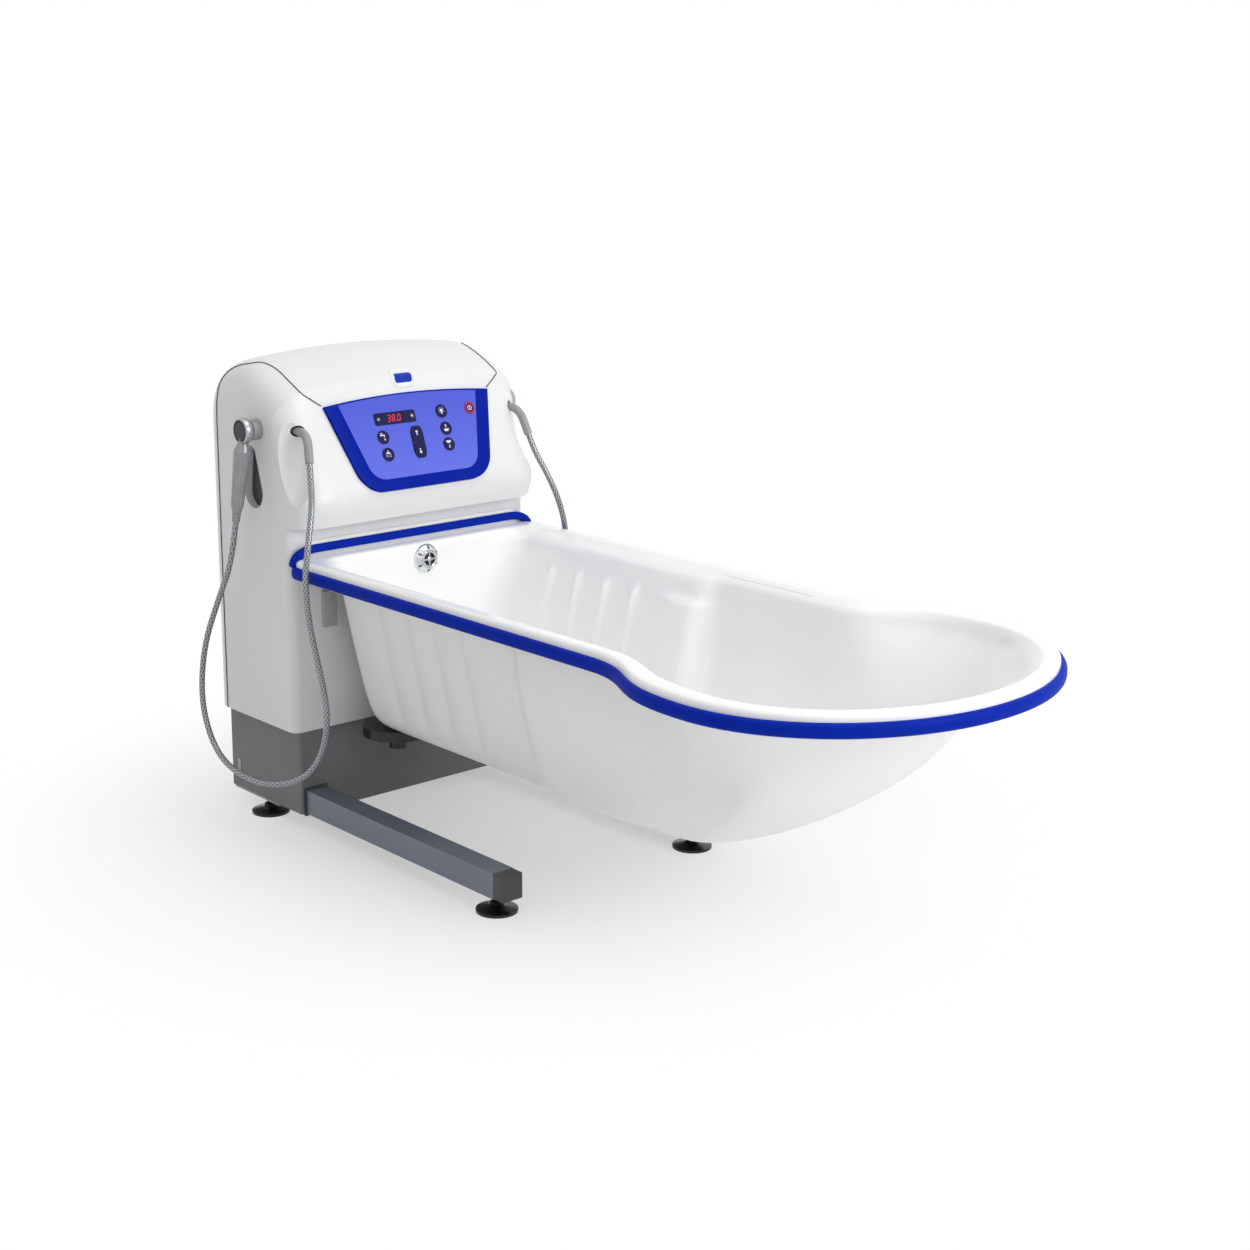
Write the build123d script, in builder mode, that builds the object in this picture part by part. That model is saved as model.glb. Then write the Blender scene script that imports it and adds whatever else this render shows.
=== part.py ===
from build123d import *
import math
import os

os.makedirs("parts", exist_ok=True)

# Overall sizes
overall_length = 2120.0
overrun = 20.0
fit_gap = 0.3
slide_gap = 0.4

# Cabinet
cabinet_width = 700.0
cabinet_depth = 355.0
cabinet_bottom = 243.0
cabinet_top = 1118.0
cabinet_wall = 4.0
crown_drop = 28.0
overhang_height = 735.0
overhang_reach = 50.0
bulge_reach = 68.0
bulge_share = 0.70662
lip_share = 0.89714
lip_reach = -8.0
panel_tilt = 22.96
shoulder_share = 0.88551
upper_corner_radius = 62.0
front_corner_radius = 22.0
rear_corner_radius = 62.0
hood_seam_depth = 61.0

bulge_height = cabinet_top * bulge_share
lip_height = cabinet_top * lip_share
rear_shoulder = cabinet_top * shoulder_share
rear_x = -overall_length / 2
front_x = rear_x + cabinet_depth
seam_x = rear_x + hood_seam_depth
half_width = cabinet_width / 2

# Tub
rim_height = 665.0
rim_half_narrow = 353.0
rim_half_wide = 440.0
rim_plate = 8.0
rim_lip_drop = 47.0
rim_lip_wall = 6.0
tub_bottom = 250.0
tub_wall = 6.0
bumper_thickness = 12.0
bumper_height = 28.0
bumper_drop = 15.0
tub_foot_gap = 2.0
swell_start_share = 0.5967
swell_end_share = 0.7832
step_start_share = 0.3936
step_end_share = 0.43925
rim_foot_corner = 40.0
basin_foot_ledge = 42.0

# Base
base_width = 660.0
base_bottom = 37.0
base_front_gap = 10.0
base_depth = 309.0
base_wall = 3.0
base_top = 350.0
base_rear_cover_depth = 37.0
middle_cover_bottom = 165.0
middle_cover_top = 430.0

# Floor legs and feet
leg_width = 55.0
leg_height = 58.0
leg_wall = 3.0
leg_bottom = 38.0
leg_spread = 582.0
leg_reach = 728.0
leg_cap_length = 31.0
collar_wall = 5.0
collar_depth = 4.0
pad_radius = 46.0
pad_edge = 6.0
pad_height = 15.0
pad_hub_radius = 15.0
stem_radius = 8.0
nut_across = 26.0
nut_height = 8.0
front_foot_reach = 676.0
rear_foot_reach = 170.0
rear_foot_spread = 630.0
foot_plate = 8.0

# Lifting column
column_width = 180.0
column_depth = 140.0
column_wall = 4.0
column_centre_reach = 165.0
column_bottom = 60.0
column_outer_top = 365.0
column_middle_bottom = 120.0
column_middle_top = 430.0
column_inner_bottom = 180.0
carriage_height = 490.0
carriage_plate = 12.0
post_size = 40.0
post_spread = 496.0
post_top = 900.0
arm_height = 60.0

# Hoses
hose_diameter = 14.0
handset_length = 218.0
elbow_diameter = 20.0


def from_front(reach):
    """Position along the bath, measured from the cabinet's lower front face."""
    return front_x + reach


# Hose route on the near side, chosen by hand: in front of the cabinet's face, across and up
hose_reaches = [
    (52, -322, 890), (68, -330, 845), (92, -345, 800), (112, -370, 728),
    (120, -388, 645), (118, -382, 555), (135, -374, 465), (158, -368, 378),
    (165, -368, 300), (140, -376, 215), (76, -392, 155), (-25, -420, 126),
    (-146, -440, 140), (-228, -440, 190), (-268, -440, 290), (-250, -436, 425),
    (-197, -423, 545), (-157, -406.5, 640), (-145, -400, 735),
]
hose_points = [(from_front(reach), y, z) for reach, y, z in hose_reaches]
hose_end, hose_last = Vector(*hose_points[-1]), Vector(*hose_points[-2])
head_spot = hose_end + (hose_end - hose_last).normalized() * handset_length


def tube_block(width, depth, wall, bottom, top, centre_x):
    """Upright rectangular tube."""
    with BuildPart() as tube:
        with BuildSketch(Plane.XY.offset(bottom)):
            with Locations((centre_x, 0)):
                Rectangle(depth, width)
                Rectangle(depth - 2 * wall, width - 2 * wall, mode=Mode.SUBTRACT)
        extrude(amount=top - bottom)
    return tube.part


def save(piece, name):
    """Label a finished piece and write its file."""
    piece.label = name
    export_step(piece, "parts/" + name + ".step")


# Cabinet's outer form, smaller by an inset on every side for its inner form
face_slope = math.tan(math.radians(panel_tilt))
round_steps = 4
flat_steps = 4


def upper_outline(y, inset, low):
    """Side outline of the cabinet above the overhang at one place across it."""
    drop = crown_drop * (y / half_width) ** 2
    back = rear_x + inset
    top = cabinet_top - drop - inset
    lip = (from_front(lip_reach) - 0.85 * inset, lip_height - drop - 0.5 * inset)
    chin = (from_front(overhang_reach) - inset, low)
    bulge = (from_front(bulge_reach) - inset, bulge_height)
    lean = 0.8 * (lip[1] - bulge_height)
    foot_of_face = (lip[0] + lean * face_slope, lip[1] - lean)
    with BuildSketch(Plane.XZ.offset(-y)) as outline:
        with BuildLine():
            Line((back, low), (back, rear_shoulder - drop - inset / 2))
            Spline(
                (back, rear_shoulder - drop - inset / 2),
                (rear_x + cabinet_depth * 0.2 + inset * 0.5, top - cabinet_top * 0.013),
                (rear_x + cabinet_depth * 0.4, top),
                (rear_x + cabinet_depth * 0.68, top - cabinet_top * 0.017),
                (rear_x + cabinet_depth * 0.92 - inset * 0.5, top - cabinet_top * 0.055),
                lip,
                tangents=[(0, 1), (face_slope, -1)],
            )
            Line(lip, foot_of_face)
            Spline(foot_of_face, bulge, chin, tangents=[(face_slope, -1), (-0.6, -1)])
            Line(chin, (back, low))
        make_face()
    return outline.sketch.face()


def cabinet_form(inset):
    """Closed form of the cabinet: the upper part with rounded sides and the lower box."""
    sides = half_width - inset
    radius = upper_corner_radius - inset
    low = overhang_height + inset
    turns = [math.radians(90 * step / (round_steps - 1)) for step in range(round_steps)]
    places = [
        (sides - radius + radius * math.sin(turn), radius - radius * math.cos(turn)) for turn in turns
    ]
    with BuildPart() as upper:
        flat = sides - radius
        middle = [(flat * step / flat_steps, 0) for step in range(1 - flat_steps, flat_steps)]
        for y, rounding in [(-y, r) for y, r in reversed(places)] + middle + places:
            add(upper_outline(y, inset + rounding, low))
        loft()
    with BuildPart() as lower:
        bottom = cabinet_bottom - (overrun if inset else 0)
        with BuildSketch(Plane.XY.offset(bottom)):
            with BuildLine():
                Polyline(
                    (rear_x + inset, -sides),
                    (front_x - inset, -sides),
                    (front_x - inset, sides),
                    (rear_x + inset, sides),
                    close=True,
                )
            make_face()
        extrude(amount=overhang_height + (overrun if inset else 0) - bottom)
        upright = lower.edges().filter_by(Axis.Z).group_by(Axis.X)
        fillet(upright[-1], front_corner_radius - inset)
        upright = lower.edges().filter_by(Axis.Z).group_by(Axis.X)
        fillet(upright[0], rear_corner_radius - inset)
    return upper.part, lower.part


# Tub: plan outlines at rising levels, joined by a loft
tub_depth = rim_height - tub_bottom
head_reach = overall_length - cabinet_depth - bumper_thickness
swell_start = head_reach * swell_start_share
swell_end = head_reach * swell_end_share
step_start = head_reach * step_start_share
step_end = head_reach * step_end_share
swell_share = 0.42
head_straight_share = 0.03


def tub_outline(level, foot, narrow, seat, wide, head, corner, steps, swell):
    """Plan outline of the tub at one level: foot end, two widening steps and round head end."""
    step_a, step_b = from_front(steps[0]), from_front(steps[1])
    swell_a, swell_b = from_front(swell[0]), from_front(swell[1])
    foot_x = from_front(foot)
    head_x = from_front(head)
    turn_x = swell_b + (head_x - swell_b) * head_straight_share
    bend = math.tan(math.radians(30)) * 0.957
    with BuildSketch(Plane.XY.offset(level)) as outline:
        with BuildLine() as side:
            Line((foot_x, 0), (foot_x, narrow - corner))
            RadiusArc((foot_x, narrow - corner), (foot_x + corner, narrow), corner)
            Line((foot_x + corner, narrow), (step_a, narrow))
            mid = (step_a + step_b) / 2
            Bezier((step_a, narrow), (mid, narrow), (mid, seat), (step_b, seat))
            Line((step_b, seat), (swell_a, seat))
            lead = swell_a + (swell_b - swell_a) * swell_share
            Bezier((swell_a, seat), (lead, seat), (lead, wide), (swell_b, wide))
            Line((swell_b, wide), (turn_x, wide))
            Bezier(
                (turn_x, wide),
                (turn_x + (head_x - turn_x) * bend, wide),
                (head_x, wide * bend),
                (head_x, 0),
            )
            mirror(side.line, about=Plane.XZ)
        make_face()
    return outline.sketch.face()


def rim_outline(level, grow):
    """Outline of the rim's edge, grown or drawn in."""
    return tub_outline(
        level,
        tub_foot_gap - min(grow, 0),
        rim_half_narrow + grow,
        rim_half_narrow + grow,
        rim_half_wide + grow,
        head_reach + grow,
        rim_foot_corner,
        (step_start, step_end),
        (swell_start, swell_end),
    )


# Level, foot, half widths of foot part, seat and back, head end, corner, steps and swell of the shell
level_shares = (0.0, 0.05, 0.18, 0.34, 0.55, 0.75, 0.9, 0.96, 1.0)
foot_shares = (0.2235, 0.1788, 0.1539, 0.144, 0.139, 0.1366, 0.1341, 0.1316, 0.1241)
narrow_shares = (0.47, 0.535, 0.59, 0.635, 0.69, 0.74, 0.785, 0.82, 0.915)
seat_shares = (0.52, 0.585, 0.66, 0.73, 0.81, 0.84, 0.85, 0.86, 0.915)
wide_shares = (0.36, 0.43, 0.52, 0.60, 0.66, 0.79, 0.915, 0.935, 0.94)
head_shares = (0.665, 0.71, 0.765, 0.815, 0.865, 0.90, 0.95, 0.97, 0.985)
corner_shares = (0.16, 0.17, 0.17, 0.17, 0.17, 0.17, 0.18, 0.19, 0.22)
swell_shares = (0.52, 0.54, 0.56, 0.58, 0.60, 0.605, 0.605, 0.605, 0.605)


def basin_form(inset, low, high):
    """Closed loft of the tub's hollow body, drawn in by the wall on every side."""
    with BuildPart() as form:
        for index, share in enumerate(level_shares):
            level = tub_bottom + low + (tub_depth + high - low) * share
            swell_from = head_reach * swell_shares[index]
            swell_to = min(swell_from + (swell_end - swell_start), head_reach * head_shares[index] * 0.93)
            add(
                tub_outline(
                    level,
                    rim_half_narrow * foot_shares[index] + inset,
                    rim_half_narrow * narrow_shares[index] - inset,
                    rim_half_narrow * seat_shares[index] - inset,
                    rim_half_wide * wide_shares[index] - inset,
                    head_reach * head_shares[index] - 1.6 * inset,
                    rim_half_narrow * corner_shares[index],
                    (step_start, step_end),
                    (swell_from, swell_to),
                )
            )
        loft()
    return form.part


# Tub shell: hollow body hung from a rim with a turned-down lip
upstand_height = 35.0
upstand_depth = 12.0
drain_reach = 125.0
trap_reach = 100.0
drain_side = -90.0
drain_radius = 26.0
overflow_radius = 35.0
overflow_height = 624.0
overflow_bore = 24.0
with BuildPart() as tub_shell:
    add(basin_form(0, 0, 0))
    add(rim_outline(rim_height - rim_plate, 0))
    extrude(amount=rim_plate)
    with BuildSketch(Plane.XY.offset(rim_height - rim_lip_drop)):
        add(rim_outline(rim_height - rim_lip_drop, 0))
        add(rim_outline(rim_height - rim_lip_drop, -rim_lip_wall), mode=Mode.SUBTRACT)
    extrude(amount=rim_lip_drop)
    with BuildSketch(Plane.XY.offset(rim_height)):
        with Locations((from_front(tub_foot_gap) + upstand_depth / 2, 0)):
            Rectangle(upstand_depth, 2 * (rim_half_narrow - rim_foot_corner / 2))
    extrude(amount=upstand_height)
    add(basin_form(tub_wall, tub_wall, rim_plate), mode=Mode.SUBTRACT)
    with Locations((from_front(drain_reach), drain_side, tub_bottom)):
        Cylinder(drain_radius, 4 * tub_wall, mode=Mode.SUBTRACT)
    with Locations((from_front(basin_foot_ledge), 0, overflow_height)):
        Cylinder(overflow_bore, 6 * tub_wall, rotation=(0, 90, 0), mode=Mode.SUBTRACT)
save(tub_shell.part, "tub_shell")

# Blue bumper round the rim's lip
bumper_low = rim_height - bumper_drop - bumper_height
with BuildPart() as rim_bumper:
    with BuildSketch(Plane.XY.offset(bumper_low)):
        add(rim_outline(bumper_low, bumper_thickness))
        add(rim_outline(bumper_low, 0), mode=Mode.SUBTRACT)
        with Locations((front_x, 0)):
            Rectangle(2 * tub_foot_gap, 2 * half_width, mode=Mode.SUBTRACT)
    extrude(amount=bumper_height)
save(rim_bumper.part, "rim_bumper")

# Blue strip on the upstand at the cabinet
strip_height = 16.0
strip_depth = 6.0
strip_low = rim_height + upstand_height - strip_height - tub_wall
with BuildPart() as back_bumper:
    with BuildSketch(Plane.XY.offset(strip_low)):
        with Locations((from_front(tub_foot_gap) + upstand_depth + strip_depth / 2, 0)):
            Rectangle(strip_depth, 2 * (rim_half_narrow - rim_foot_corner / 2))
    extrude(amount=strip_height)
save(back_bumper.part, "back_bumper")

# Control panel's plane lies on the leaning face, with its origin at the lip
panel_normal = Vector(math.cos(math.radians(panel_tilt)), 0, math.sin(math.radians(panel_tilt)))
panel_plane = Plane(origin=(from_front(lip_reach), 0, lip_height), x_dir=(0, 1, 0), z_dir=panel_normal)
panel_half_top = 240.0
panel_half_low = 205.0
panel_half_foot = 132.0
panel_low = 215.0
panel_bend = 130.0
panel_crown = 14.0
panel_corner = 90.0
panel_side_border = 38.0
panel_low_border = 27.0
top_border_share = 0.08
corner_share = 0.8
panel_front = 4.0
panel_back = 9.0
membrane_thickness = 2.0
membrane_step = 1.0


def panel_outline(plane, side_border, low_border, grow):
    """Outline of the control panel or of the membrane inside its surround."""
    half_top = panel_half_top - side_border + grow
    half_low = panel_half_low - side_border + grow
    half_foot = panel_half_foot - side_border * 0.65 + grow
    low = -(panel_low - low_border + grow)
    with BuildSketch(plane) as outline:
        with BuildLine():
            Polyline(
                (-half_top, 0), (-half_low, -panel_bend), (-half_foot, low), (half_foot, low),
                (half_low, -panel_bend), (half_top, 0),
            )
            crown = panel_crown + grow - side_border * top_border_share
            ThreePointArc((half_top, 0), (0, crown), (-half_top, 0))
        make_face()
        rows = outline.vertices().group_by(Axis.Y)
        fillet(rows[0] + rows[1], panel_corner - side_border * corner_share)
    return outline.sketch.face()


def panel_block(side_border, low_border, grow, back, front):
    """Closed block with the panel's outline, from its back to its front."""
    with BuildPart() as block:
        add(panel_outline(panel_plane.offset(back), side_border, low_border, grow))
        extrude(dir=panel_normal, amount=front - back)
    return block.part


# Cabinet shells: outer form less inner form, parted at the hood's seam
lens_width = 50.0
lens_depth = 22.0
lens_height = 6.0
lens_reach = -30.0
lens_drop = 72.0
lens_facing = (0.55, 0, 0.83)
holder_radius = 24.0
recess_depth = 24.0
recess_width = 76.0
recess_high = 890.0
recess_low = 800.0
recess_reach = -142.0
arm_centre = post_spread / 2
arm_bottom = carriage_height + carriage_plate
arm_width = 30.0
socket_radius = 13.0
scoop_reach = 30.0
scoop_side = 378.0
scoop_low = 205.0
scoop_high = 145.0
scoop_lean = 14.0
scoop_radius = 76.0
socket_reach = -28.0
socket_side = 310.0
socket_drop = 48.0
socket_height = lip_height - socket_drop
inlet_plate_width = 300.0
inlet_plate_height = 160.0
inlet_plate_centre = 800.0
inlet_plate_depth = 30.0
inlet_plate_wall = 3.0

upper_outer, lower_outer = cabinet_form(0)
upper_inner, lower_inner = cabinet_form(cabinet_wall)

with BuildPart() as cabinet_shell:
    add(upper_outer)
    add(lower_outer)
    add(upper_inner, mode=Mode.SUBTRACT)
    add(lower_inner, mode=Mode.SUBTRACT)

# Region of the rear cover and hood: the rear strip and the top inside the curved seam
seam_reach_shares = (0.0, 0.08, 0.19, 0.37, 0.70, 0.93, 1.4)
seam_half_shares = (1.0, 0.957, 0.914, 0.814, 0.723, 0.697, 0.69)
with BuildPart() as hood_region:
    with BuildSketch(Plane.XY.offset(lip_height)):
        seam_span = from_front(0) - seam_x
        points = [
            (seam_x + seam_span * reach, half_width * half)
            for reach, half in zip(seam_reach_shares, seam_half_shares)
        ]
        with BuildLine() as seam:
            Line((seam_x - overrun, 0), (seam_x - overrun, half_width))
            Line((seam_x - overrun, half_width), points[0])
            Spline(*points)
            Line(points[-1], (points[-1][0], 0))
            mirror(seam.line, about=Plane.XZ)
        make_face()
    extrude(amount=cabinet_top - lip_height + overrun)
    with BuildSketch(Plane.XY.offset(cabinet_bottom - overrun)):
        with Locations(((rear_x + seam_x) / 2 - overrun / 2, 0)):
            Rectangle(seam_x - rear_x + overrun, cabinet_width + 2 * overrun)
    extrude(amount=cabinet_top - cabinet_bottom + 2 * overrun)

panel_hole = panel_block(0, 0, fit_gap, -panel_back - overrun, overrun)


def recess_form(side, depth, grow):
    """Drop-shaped recess behind a handset's grip, pressed in from the cabinet's side."""
    with BuildPart() as form:
        with BuildSketch(Plane.XZ.offset(-side * (half_width - depth))):
            with Locations((from_front(recess_reach), recess_low)):
                Circle(recess_width / 2 + grow)
            with Locations((from_front(recess_reach) - recess_width * 0.1, recess_high)):
                Circle(recess_width * 0.25 + grow)
            make_hull()
        extrude(amount=-side * (depth + (overrun if grow == 0 else -cabinet_wall / 2)))
    return form.part


def scoop_form(side, grow):
    """Spindle that scoops the hollow round a hose socket out of the cabinet's corner."""
    foot = Vector(from_front(scoop_reach + scoop_lean), side * scoop_side, socket_height - scoop_low)
    head = Vector(from_front(scoop_reach), side * (scoop_side - scoop_lean), socket_height + scoop_high)
    along_it = (head - foot).normalized()
    across = along_it.cross(Vector(0, 1, 0)).normalized()
    middle = (foot + head) / 2
    with BuildPart() as form:
        with BuildSketch(Plane(origin=middle, x_dir=along_it, z_dir=along_it.cross(across))):
            half = (head - foot).length / 2 + grow
            with BuildLine():
                ThreePointArc((-half, 0), (0, scoop_radius + grow), (half, 0))
                Line((half, 0), (-half, 0))
            make_face()
        revolve(axis=Axis(middle, along_it))
    return form.part


with BuildPart() as front_cover:
    add(cabinet_shell.part)
    add(hood_region.part, mode=Mode.SUBTRACT)
    for side in (-1, 1):
        add(recess_form(side, recess_depth, cabinet_wall))
    for side in (-1, 1):
        add(recess_form(side, recess_depth - cabinet_wall, 0), mode=Mode.SUBTRACT)
    add(panel_hole, mode=Mode.SUBTRACT)
    with Locations(*[(front_x, side * arm_centre, arm_bottom + arm_height / 2) for side in (-1, 1)]):
        Box(
            4 * cabinet_wall,
            arm_width + 2 * fit_gap,
            arm_height + 2 * fit_gap,
            mode=Mode.SUBTRACT,
        )
    for side in (-1, 1):
        with BuildPart(mode=Mode.PRIVATE) as cup:
            add(scoop_form(side, cabinet_wall))
            add(upper_outer, mode=Mode.INTERSECT)
        add(cup.part)
    for side in (-1, 1):
        add(scoop_form(side, 0), mode=Mode.SUBTRACT)
    with Locations(*[(from_front(socket_reach), side * socket_side, socket_height) for side in (-1, 1)]):
        Cylinder(socket_radius + fit_gap, 4 * half_width * 0.1, rotation=(0, 90, 0), mode=Mode.SUBTRACT)
    with Locations(*[(head_spot.X, side * half_width, head_spot.Z) for side in (-1, 1)]):
        Cylinder(holder_radius * 0.5 + fit_gap, 4 * cabinet_wall, rotation=(90, 0, 0), mode=Mode.SUBTRACT)
save(front_cover.part, "front_cover")

lens_centre = (from_front(lens_reach), 0, cabinet_top - lens_drop)
with BuildPart() as lens_plug:
    with BuildSketch(Plane(origin=lens_centre, z_dir=lens_facing)):
        RectangleRounded(lens_depth, lens_width, lens_depth * 0.3)
    extrude(amount=3 * lens_height, both=True)

with BuildPart() as hood:
    add(cabinet_shell.part)
    add(hood_region.part, mode=Mode.INTERSECT)
    add(panel_hole, mode=Mode.SUBTRACT)
    add(lens_plug.part, mode=Mode.SUBTRACT)
    with Locations((rear_x, 0, inlet_plate_centre)):
        Box(4 * cabinet_wall, inlet_plate_width, inlet_plate_height, mode=Mode.SUBTRACT)
save(hood.part, "hood")

with BuildPart() as hood_lens:
    add(lens_plug.part)
    add(upper_outer, mode=Mode.INTERSECT)
    add(upper_inner, mode=Mode.SUBTRACT)
save(hood_lens.part, "hood_lens")

# Control panel: surround, membrane, display window and keys
key_radius = 16.5
key_thickness = 5.0
key_proud = 1.2
key_gap = 0.3
display_width = 119.0
display_height = 30.0
display_centre = (-53.5, -44.5)
oblong_key_width = 31.0
oblong_key_height = 36.0
small_key_radius = 7.0
stop_radius = 15.0
key_places = {
    "key_cooler": (-101.0, -44.5, small_key_radius),
    "key_warmer": (-4.0, -44.5, small_key_radius),
    "key_fill": (-100.0, -88.0, key_radius),
    "key_shower": (-98.0, -130.0, key_radius),
    "key_light": (84.0, -42.0, key_radius),
    "key_raise_bath": (85.0, -85.0, key_radius),
    "key_lower_bath": (82.0, -124.0, key_radius),
    "key_stop": (170.0, -42.0, stop_radius),
}
oblong_places = {"key_up": (-3.0, -88.0), "key_down": (-5.0, -130.0)}
membrane_back = panel_front - membrane_step - membrane_thickness
membrane_face = panel_front - membrane_step
key_back = membrane_face - key_thickness + key_proud


def key_solid(place, radius, grow):
    """Round key, or a hole for it when grown."""
    with BuildPart() as key:
        with BuildSketch(panel_plane.offset(key_back - (overrun if grow else 0))):
            with Locations(place):
                Circle(radius + grow)
        extrude(dir=panel_normal, amount=key_thickness + (2 * overrun if grow else 0))
    return key.part


def oblong_solid(place, grow):
    """Upper or lower key of the oblong pair, or a hole for it when grown."""
    with BuildPart() as key:
        with BuildSketch(panel_plane.offset(key_back - (overrun if grow else 0))):
            with Locations(place):
                RectangleRounded(
                    oblong_key_width + 2 * grow,
                    oblong_key_height + 2 * grow,
                    oblong_key_width * 0.3,
                )
        extrude(dir=panel_normal, amount=key_thickness + (2 * overrun if grow else 0))
    return key.part


def display_solid(grow, back, front):
    """Block of the display window's outline."""
    with BuildPart() as block:
        with BuildSketch(panel_plane.offset(back)):
            with Locations(display_centre):
                RectangleRounded(
                    display_width + 2 * grow,
                    display_height + 2 * grow,
                    display_height * 0.15,
                )
        extrude(dir=panel_normal, amount=front - back)
    return block.part


lip_side = panel_side_border + panel_front
lip_low = panel_low_border + panel_front
with BuildPart() as panel_frame:
    with BuildSketch(panel_plane.offset(-panel_back)):
        add(panel_outline(Plane.XY, 0, 0, 0))
        add(panel_outline(Plane.XY, lip_side, lip_low, 0), mode=Mode.SUBTRACT)
    extrude(amount=panel_back + membrane_back)
    with BuildSketch(panel_plane.offset(membrane_back)):
        add(panel_outline(Plane.XY, 0, 0, 0))
        add(panel_outline(Plane.XY, panel_side_border, panel_low_border, 0), mode=Mode.SUBTRACT)
    extrude(amount=panel_front - membrane_back)
save(panel_frame.part, "panel_frame")

with BuildPart() as panel_membrane:
    add(panel_block(panel_side_border, panel_low_border, 0, membrane_back, membrane_face))
    for u, v, radius in key_places.values():
        add(key_solid((u, v), radius, key_gap), mode=Mode.SUBTRACT)
    for place in oblong_places.values():
        add(oblong_solid(place, key_gap), mode=Mode.SUBTRACT)
    add(display_solid(key_gap, membrane_back - overrun, panel_front + overrun), mode=Mode.SUBTRACT)
save(panel_membrane.part, "panel_membrane")

with BuildPart() as display_window:
    add(display_solid(0, membrane_back, membrane_face + membrane_step / 2))
    for u, v, radius in key_places.values():
        add(key_solid((u, v), radius, key_gap), mode=Mode.SUBTRACT)
save(display_window.part, "display_window")

for name, (u, v, radius) in key_places.items():
    with BuildPart() as key:
        add(key_solid((u, v), radius, 0))
    save(key.part, name)
for name, place in oblong_places.items():
    with BuildPart() as key:
        add(oblong_solid(place, 0))
    save(key.part, name)

# Control box behind the panel
control_depth = 40.0
control_gap = 2.0
with BuildPart() as control_box:
    back = -panel_back - control_depth
    add(panel_block(lip_side, lip_low, -control_gap, back, -panel_back))
save(control_box.part, "control_box")

# Floor legs with end caps and collars
leg_end = from_front(leg_reach - leg_cap_length)
leg_top = leg_bottom + leg_height
leg_middle = leg_bottom + leg_height / 2
base_front = from_front(-base_front_gap)
base_rear = base_front - base_depth
front_foot_x = from_front(front_foot_reach)
rear_foot_x = from_front(-rear_foot_reach)
leg_back = base_rear + 2 * base_wall
for name, side in (("leg_left", -1), ("leg_right", 1)):
    with BuildPart() as leg:
        with BuildSketch(Plane.YZ.offset(leg_back)):
            with Locations((side * leg_spread / 2, leg_middle)):
                Rectangle(leg_width, leg_height)
                Rectangle(leg_width - 2 * leg_wall, leg_height - 2 * leg_wall, mode=Mode.SUBTRACT)
        extrude(amount=leg_end - leg_back)
        with Locations((front_foot_x, side * leg_spread / 2, leg_bottom)):
            Cylinder(stem_radius + fit_gap, 4 * leg_wall, mode=Mode.SUBTRACT)
    save(leg.part, name)

cap_plug = 20.0
with BuildPart() as leg_caps:
    for side in (-1, 1):
        with BuildSketch(Plane.YZ.offset(leg_end)):
            with Locations((side * leg_spread / 2, leg_middle)):
                RectangleRounded(leg_width, leg_height, leg_wall)
        extrude(amount=leg_cap_length)
        with BuildSketch(Plane.YZ.offset(leg_end)):
            with Locations((side * leg_spread / 2, leg_middle)):
                Rectangle(leg_width - 2 * leg_wall, leg_height - 2 * leg_wall)
        extrude(amount=-cap_plug / 2)
save(leg_caps.part, "leg_caps")

with BuildPart() as leg_collars:
    for side in (-1, 1):
        with BuildSketch(Plane.YZ.offset(base_front)):
            with Locations((side * leg_spread / 2, leg_middle)):
                Rectangle(leg_width + 2 * collar_wall, leg_height + 2 * collar_wall)
                Rectangle(leg_width, leg_height, mode=Mode.SUBTRACT)
        extrude(amount=collar_depth)
save(leg_collars.part, "leg_collars")

# Levelling feet
foot_places = [(front_foot_x, side * leg_spread / 2) for side in (-1, 1)]
foot_places += [(rear_foot_x, side * rear_foot_spread / 2) for side in (-1, 1)]
plate_bottom = leg_bottom - foot_plate
with BuildPart() as foot_pads:
    for x, y in foot_places:
        with BuildSketch(Plane(origin=(x, y, 0), x_dir=(1, 0, 0), z_dir=(0, -1, 0))):
            with BuildLine():
                Polyline(
                    (0, 0), (pad_radius, 0), (pad_radius, pad_edge),
                    (pad_hub_radius + pad_edge, pad_height - pad_edge / 2),
                    (pad_hub_radius, pad_height), (0, pad_height), close=True,
                )
            make_face()
        revolve(axis=Axis((x, y, 0), (0, 0, 1)))
    for x, y in foot_places:
        with Locations((x, y, pad_height)):
            Cylinder(stem_radius, pad_height, mode=Mode.SUBTRACT)
save(foot_pads.part, "foot_pads")

stem_bottom = pad_height / 2
with BuildPart() as foot_stems:
    for x, y in foot_places:
        stem_top = leg_bottom + (4 * leg_wall if x == front_foot_x else 0)
        with Locations((x, y, stem_bottom)):
            Cylinder(stem_radius, stem_top - stem_bottom, align=(Align.CENTER, Align.CENTER, Align.MIN))
save(foot_stems.part, "foot_stems")

with BuildPart() as foot_nuts:
    for x, y in foot_places:
        with BuildSketch(Plane.XY.offset(pad_height)):
            with Locations((x, y)):
                RegularPolygon(nut_across / 2, 6, major_radius=False)
                Circle(stem_radius, mode=Mode.SUBTRACT)
        extrude(amount=nut_height)
save(foot_nuts.part, "foot_nuts")

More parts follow.
